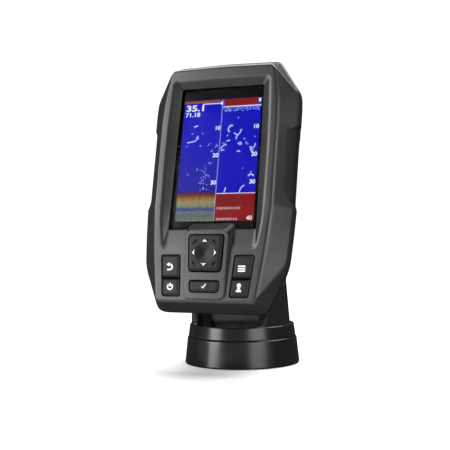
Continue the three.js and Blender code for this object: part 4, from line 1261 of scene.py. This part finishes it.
def release_latch():
    """A lever with a grooved thumb pad, hollowed in front for its leaf spring."""
    corners = [
        (39.7, -36, 0.5), (42.2, -36, 0.8), (42.2, -22, 4), (44.6, -17, 2), (45.6, -12.6, 0.8),
        (43.4, -12.2, 0.8), (41.6, -15.6, 2), (39.7, -18, 1.5),
    ]
    latch = pillow("release_latch", corners, -7, 7, 0.6, place=upright)
    grooves = []
    for i in range(4):
        place = across_head(43.5 + 0.55 * i, -20.6 + 1.5 * i)
        grooves.append(drill("groove", 0.35, -5, 5, place, 12))
    pin_hole = drill("pin_hole", 0.95, -9, 9, across_head(*LATCH_PIN), 24)
    spring_pocket = block("spring_pocket", -4.4, 4.4, 39, 40.5, -33, -15, 0.1)
    cut(latch, pin_hole, spring_pocket, *grooves)
    finish_piece(latch, "release_latch", "mount_plastic", ["release_latch"])


# ---------- stage, light and camera

FLOOR_SIZE = 6.0
SURROUND_SHOWN = 1.1
SURROUND_FAINT = 0.05


def stage():
    """A pale floor and a pale surround; the surround lights the object only faintly."""
    floor_material = textured("floor", grey(0.80), 0.7, mottling=0.01, depth=0.001)
    corners = ((-1, -1), (1, -1), (1, 1), (-1, 1))
    points = [Vector((x * FLOOR_SIZE, y * FLOOR_SIZE, 0)) for x, y in corners]
    floor = mesh_object("floor", points, [(0, 1, 2, 3)], Matrix.Identity(4))
    floor.data.materials.append(floor_material)
    floor.visible_glossy = False
    floor.visible_diffuse = False
    world = bpy.data.worlds.new("studio")
    world.use_nodes = True
    nodes, links = world.node_tree.nodes, world.node_tree.links
    shown, faint = nodes["Background"], nodes.new("ShaderNodeBackground")
    put(shown, Color=(1, 1, 1, 1), Strength=SURROUND_SHOWN)
    put(faint, Color=(1, 1, 1, 1), Strength=SURROUND_FAINT)
    choice = nodes.new("ShaderNodeMixShader")
    links.new(nodes.new("ShaderNodeLightPath").outputs["Is Camera Ray"], choice.inputs["Fac"])
    links.new(faint.outputs["Background"], choice.inputs[1])
    links.new(shown.outputs["Background"], choice.inputs[2])
    links.new(choice.outputs["Shader"], nodes["World Output"].inputs["Surface"])
    bpy.context.scene.world = world
    bpy.context.scene.view_settings.view_transform = "Standard"


def add_lamp(name, light, place, target):
    lamp = placed(name, light)
    lamp.location = place
    lamp.rotation_euler = (Vector(target) - Vector(place)).to_track_quat("-Z", "Y").to_euler()
    lamp.visible_camera = False
    return lamp


def panel(name, width, height, watts):
    light = bpy.data.lights.new(name, "AREA")
    light.shape = "RECTANGLE"
    light.size = width
    light.size_y = height
    light.energy = watts
    return light


def outwards(azimuth, elevation):
    """A direction from the object; the azimuth goes from straight in front towards the right."""
    side, rise = math.radians(azimuth), math.radians(elevation)
    return Vector((math.sin(side) * math.cos(rise), -math.cos(side) * math.cos(rise), math.sin(rise)))


def softbox(name, azimuth, elevation, width, height, watts, roll):
    """A rectangular lamp that faces the object, turned by roll."""
    place = LOOK_AT + outwards(azimuth, elevation) * SOFTBOX_DISTANCE
    lamp = add_lamp(name, panel(name, width, height, watts), place, LOOK_AT)
    lamp.rotation_euler.rotate_axis("Z", math.radians(roll))


def table_bounce(name, width, depth, watts):
    """The light that a pale table throws up at the object from in front of it."""
    place = Vector((0, -0.06 - depth / 2, 0.003))
    add_lamp(name, panel(name, width, depth, watts), place, place + Vector((0, 0, 1)))


def ceiling(name, place, strength, spread):
    """Even light from above, its spread in degrees."""
    light = bpy.data.lights.new(name, "SUN")
    light.energy = strength
    light.angle = math.radians(spread)
    add_lamp(name, light, place, (0, 0, 0))


CAMERA_AZIMUTH = 22.87
CAMERA_ELEVATION = 0.46
CAMERA_DISTANCE = 0.5881
CAMERA_ROLL = -0.72
CAMERA_LENS = 76.65
LOOK_AT = Vector((0, 0, 0.100))
VIEW_SLIDE = (-0.00962, -0.01618)
SOFTBOX_DISTANCE = 0.90


def camera():
    forward = -outwards(CAMERA_AZIMUTH, CAMERA_ELEVATION)
    right = forward.cross(Vector((0, 0, 1))).normalized()
    up = right.cross(forward)
    place = LOOK_AT - forward * CAMERA_DISTANCE + right * VIEW_SLIDE[0] + up * VIEW_SLIDE[1]
    roll = math.radians(CAMERA_ROLL)
    across = right * math.cos(roll) + up * math.sin(roll)
    top = up * math.cos(roll) - right * math.sin(roll)
    turn = Matrix((across, top, -forward)).transposed().to_4x4()
    view = placed("camera", bpy.data.cameras.new("camera"))
    view.data.lens = CAMERA_LENS
    view.data.sensor_width = 36
    view.matrix_world = Matrix.Translation(place) @ turn
    bpy.context.scene.camera = view


def lights():
    softbox("left_softbox", -41, 19, 0.40, 0.78, 8.6, 16)
    softbox("right_softbox", 54, 14, 0.54, 0.60, 4.6, 0)
    softbox("rear_softbox", -136, 56, 0.50, 0.50, 4.5, 0)
    ceiling("ceiling_light", (0.20, 0.42, 1.0), 4.5, 56)
    table_bounce("table_bounce", 0.5, 0.25, 0.5)


camera()
dress_frame_nodes()
front_bezel()
rear_housing()
for grip_side in (1, -1):
    side_grip(grip_side)
vent()
housing_screws()
cable_socket()
screen()
sonar_marks()
side_keys()
select_key()
key_icons()
pad_cap()
pad_arrows()
swivel_base()
yoke()
tilt_bolt()
tilt_knob()
cradle()
release_latch()
stage()
lights()
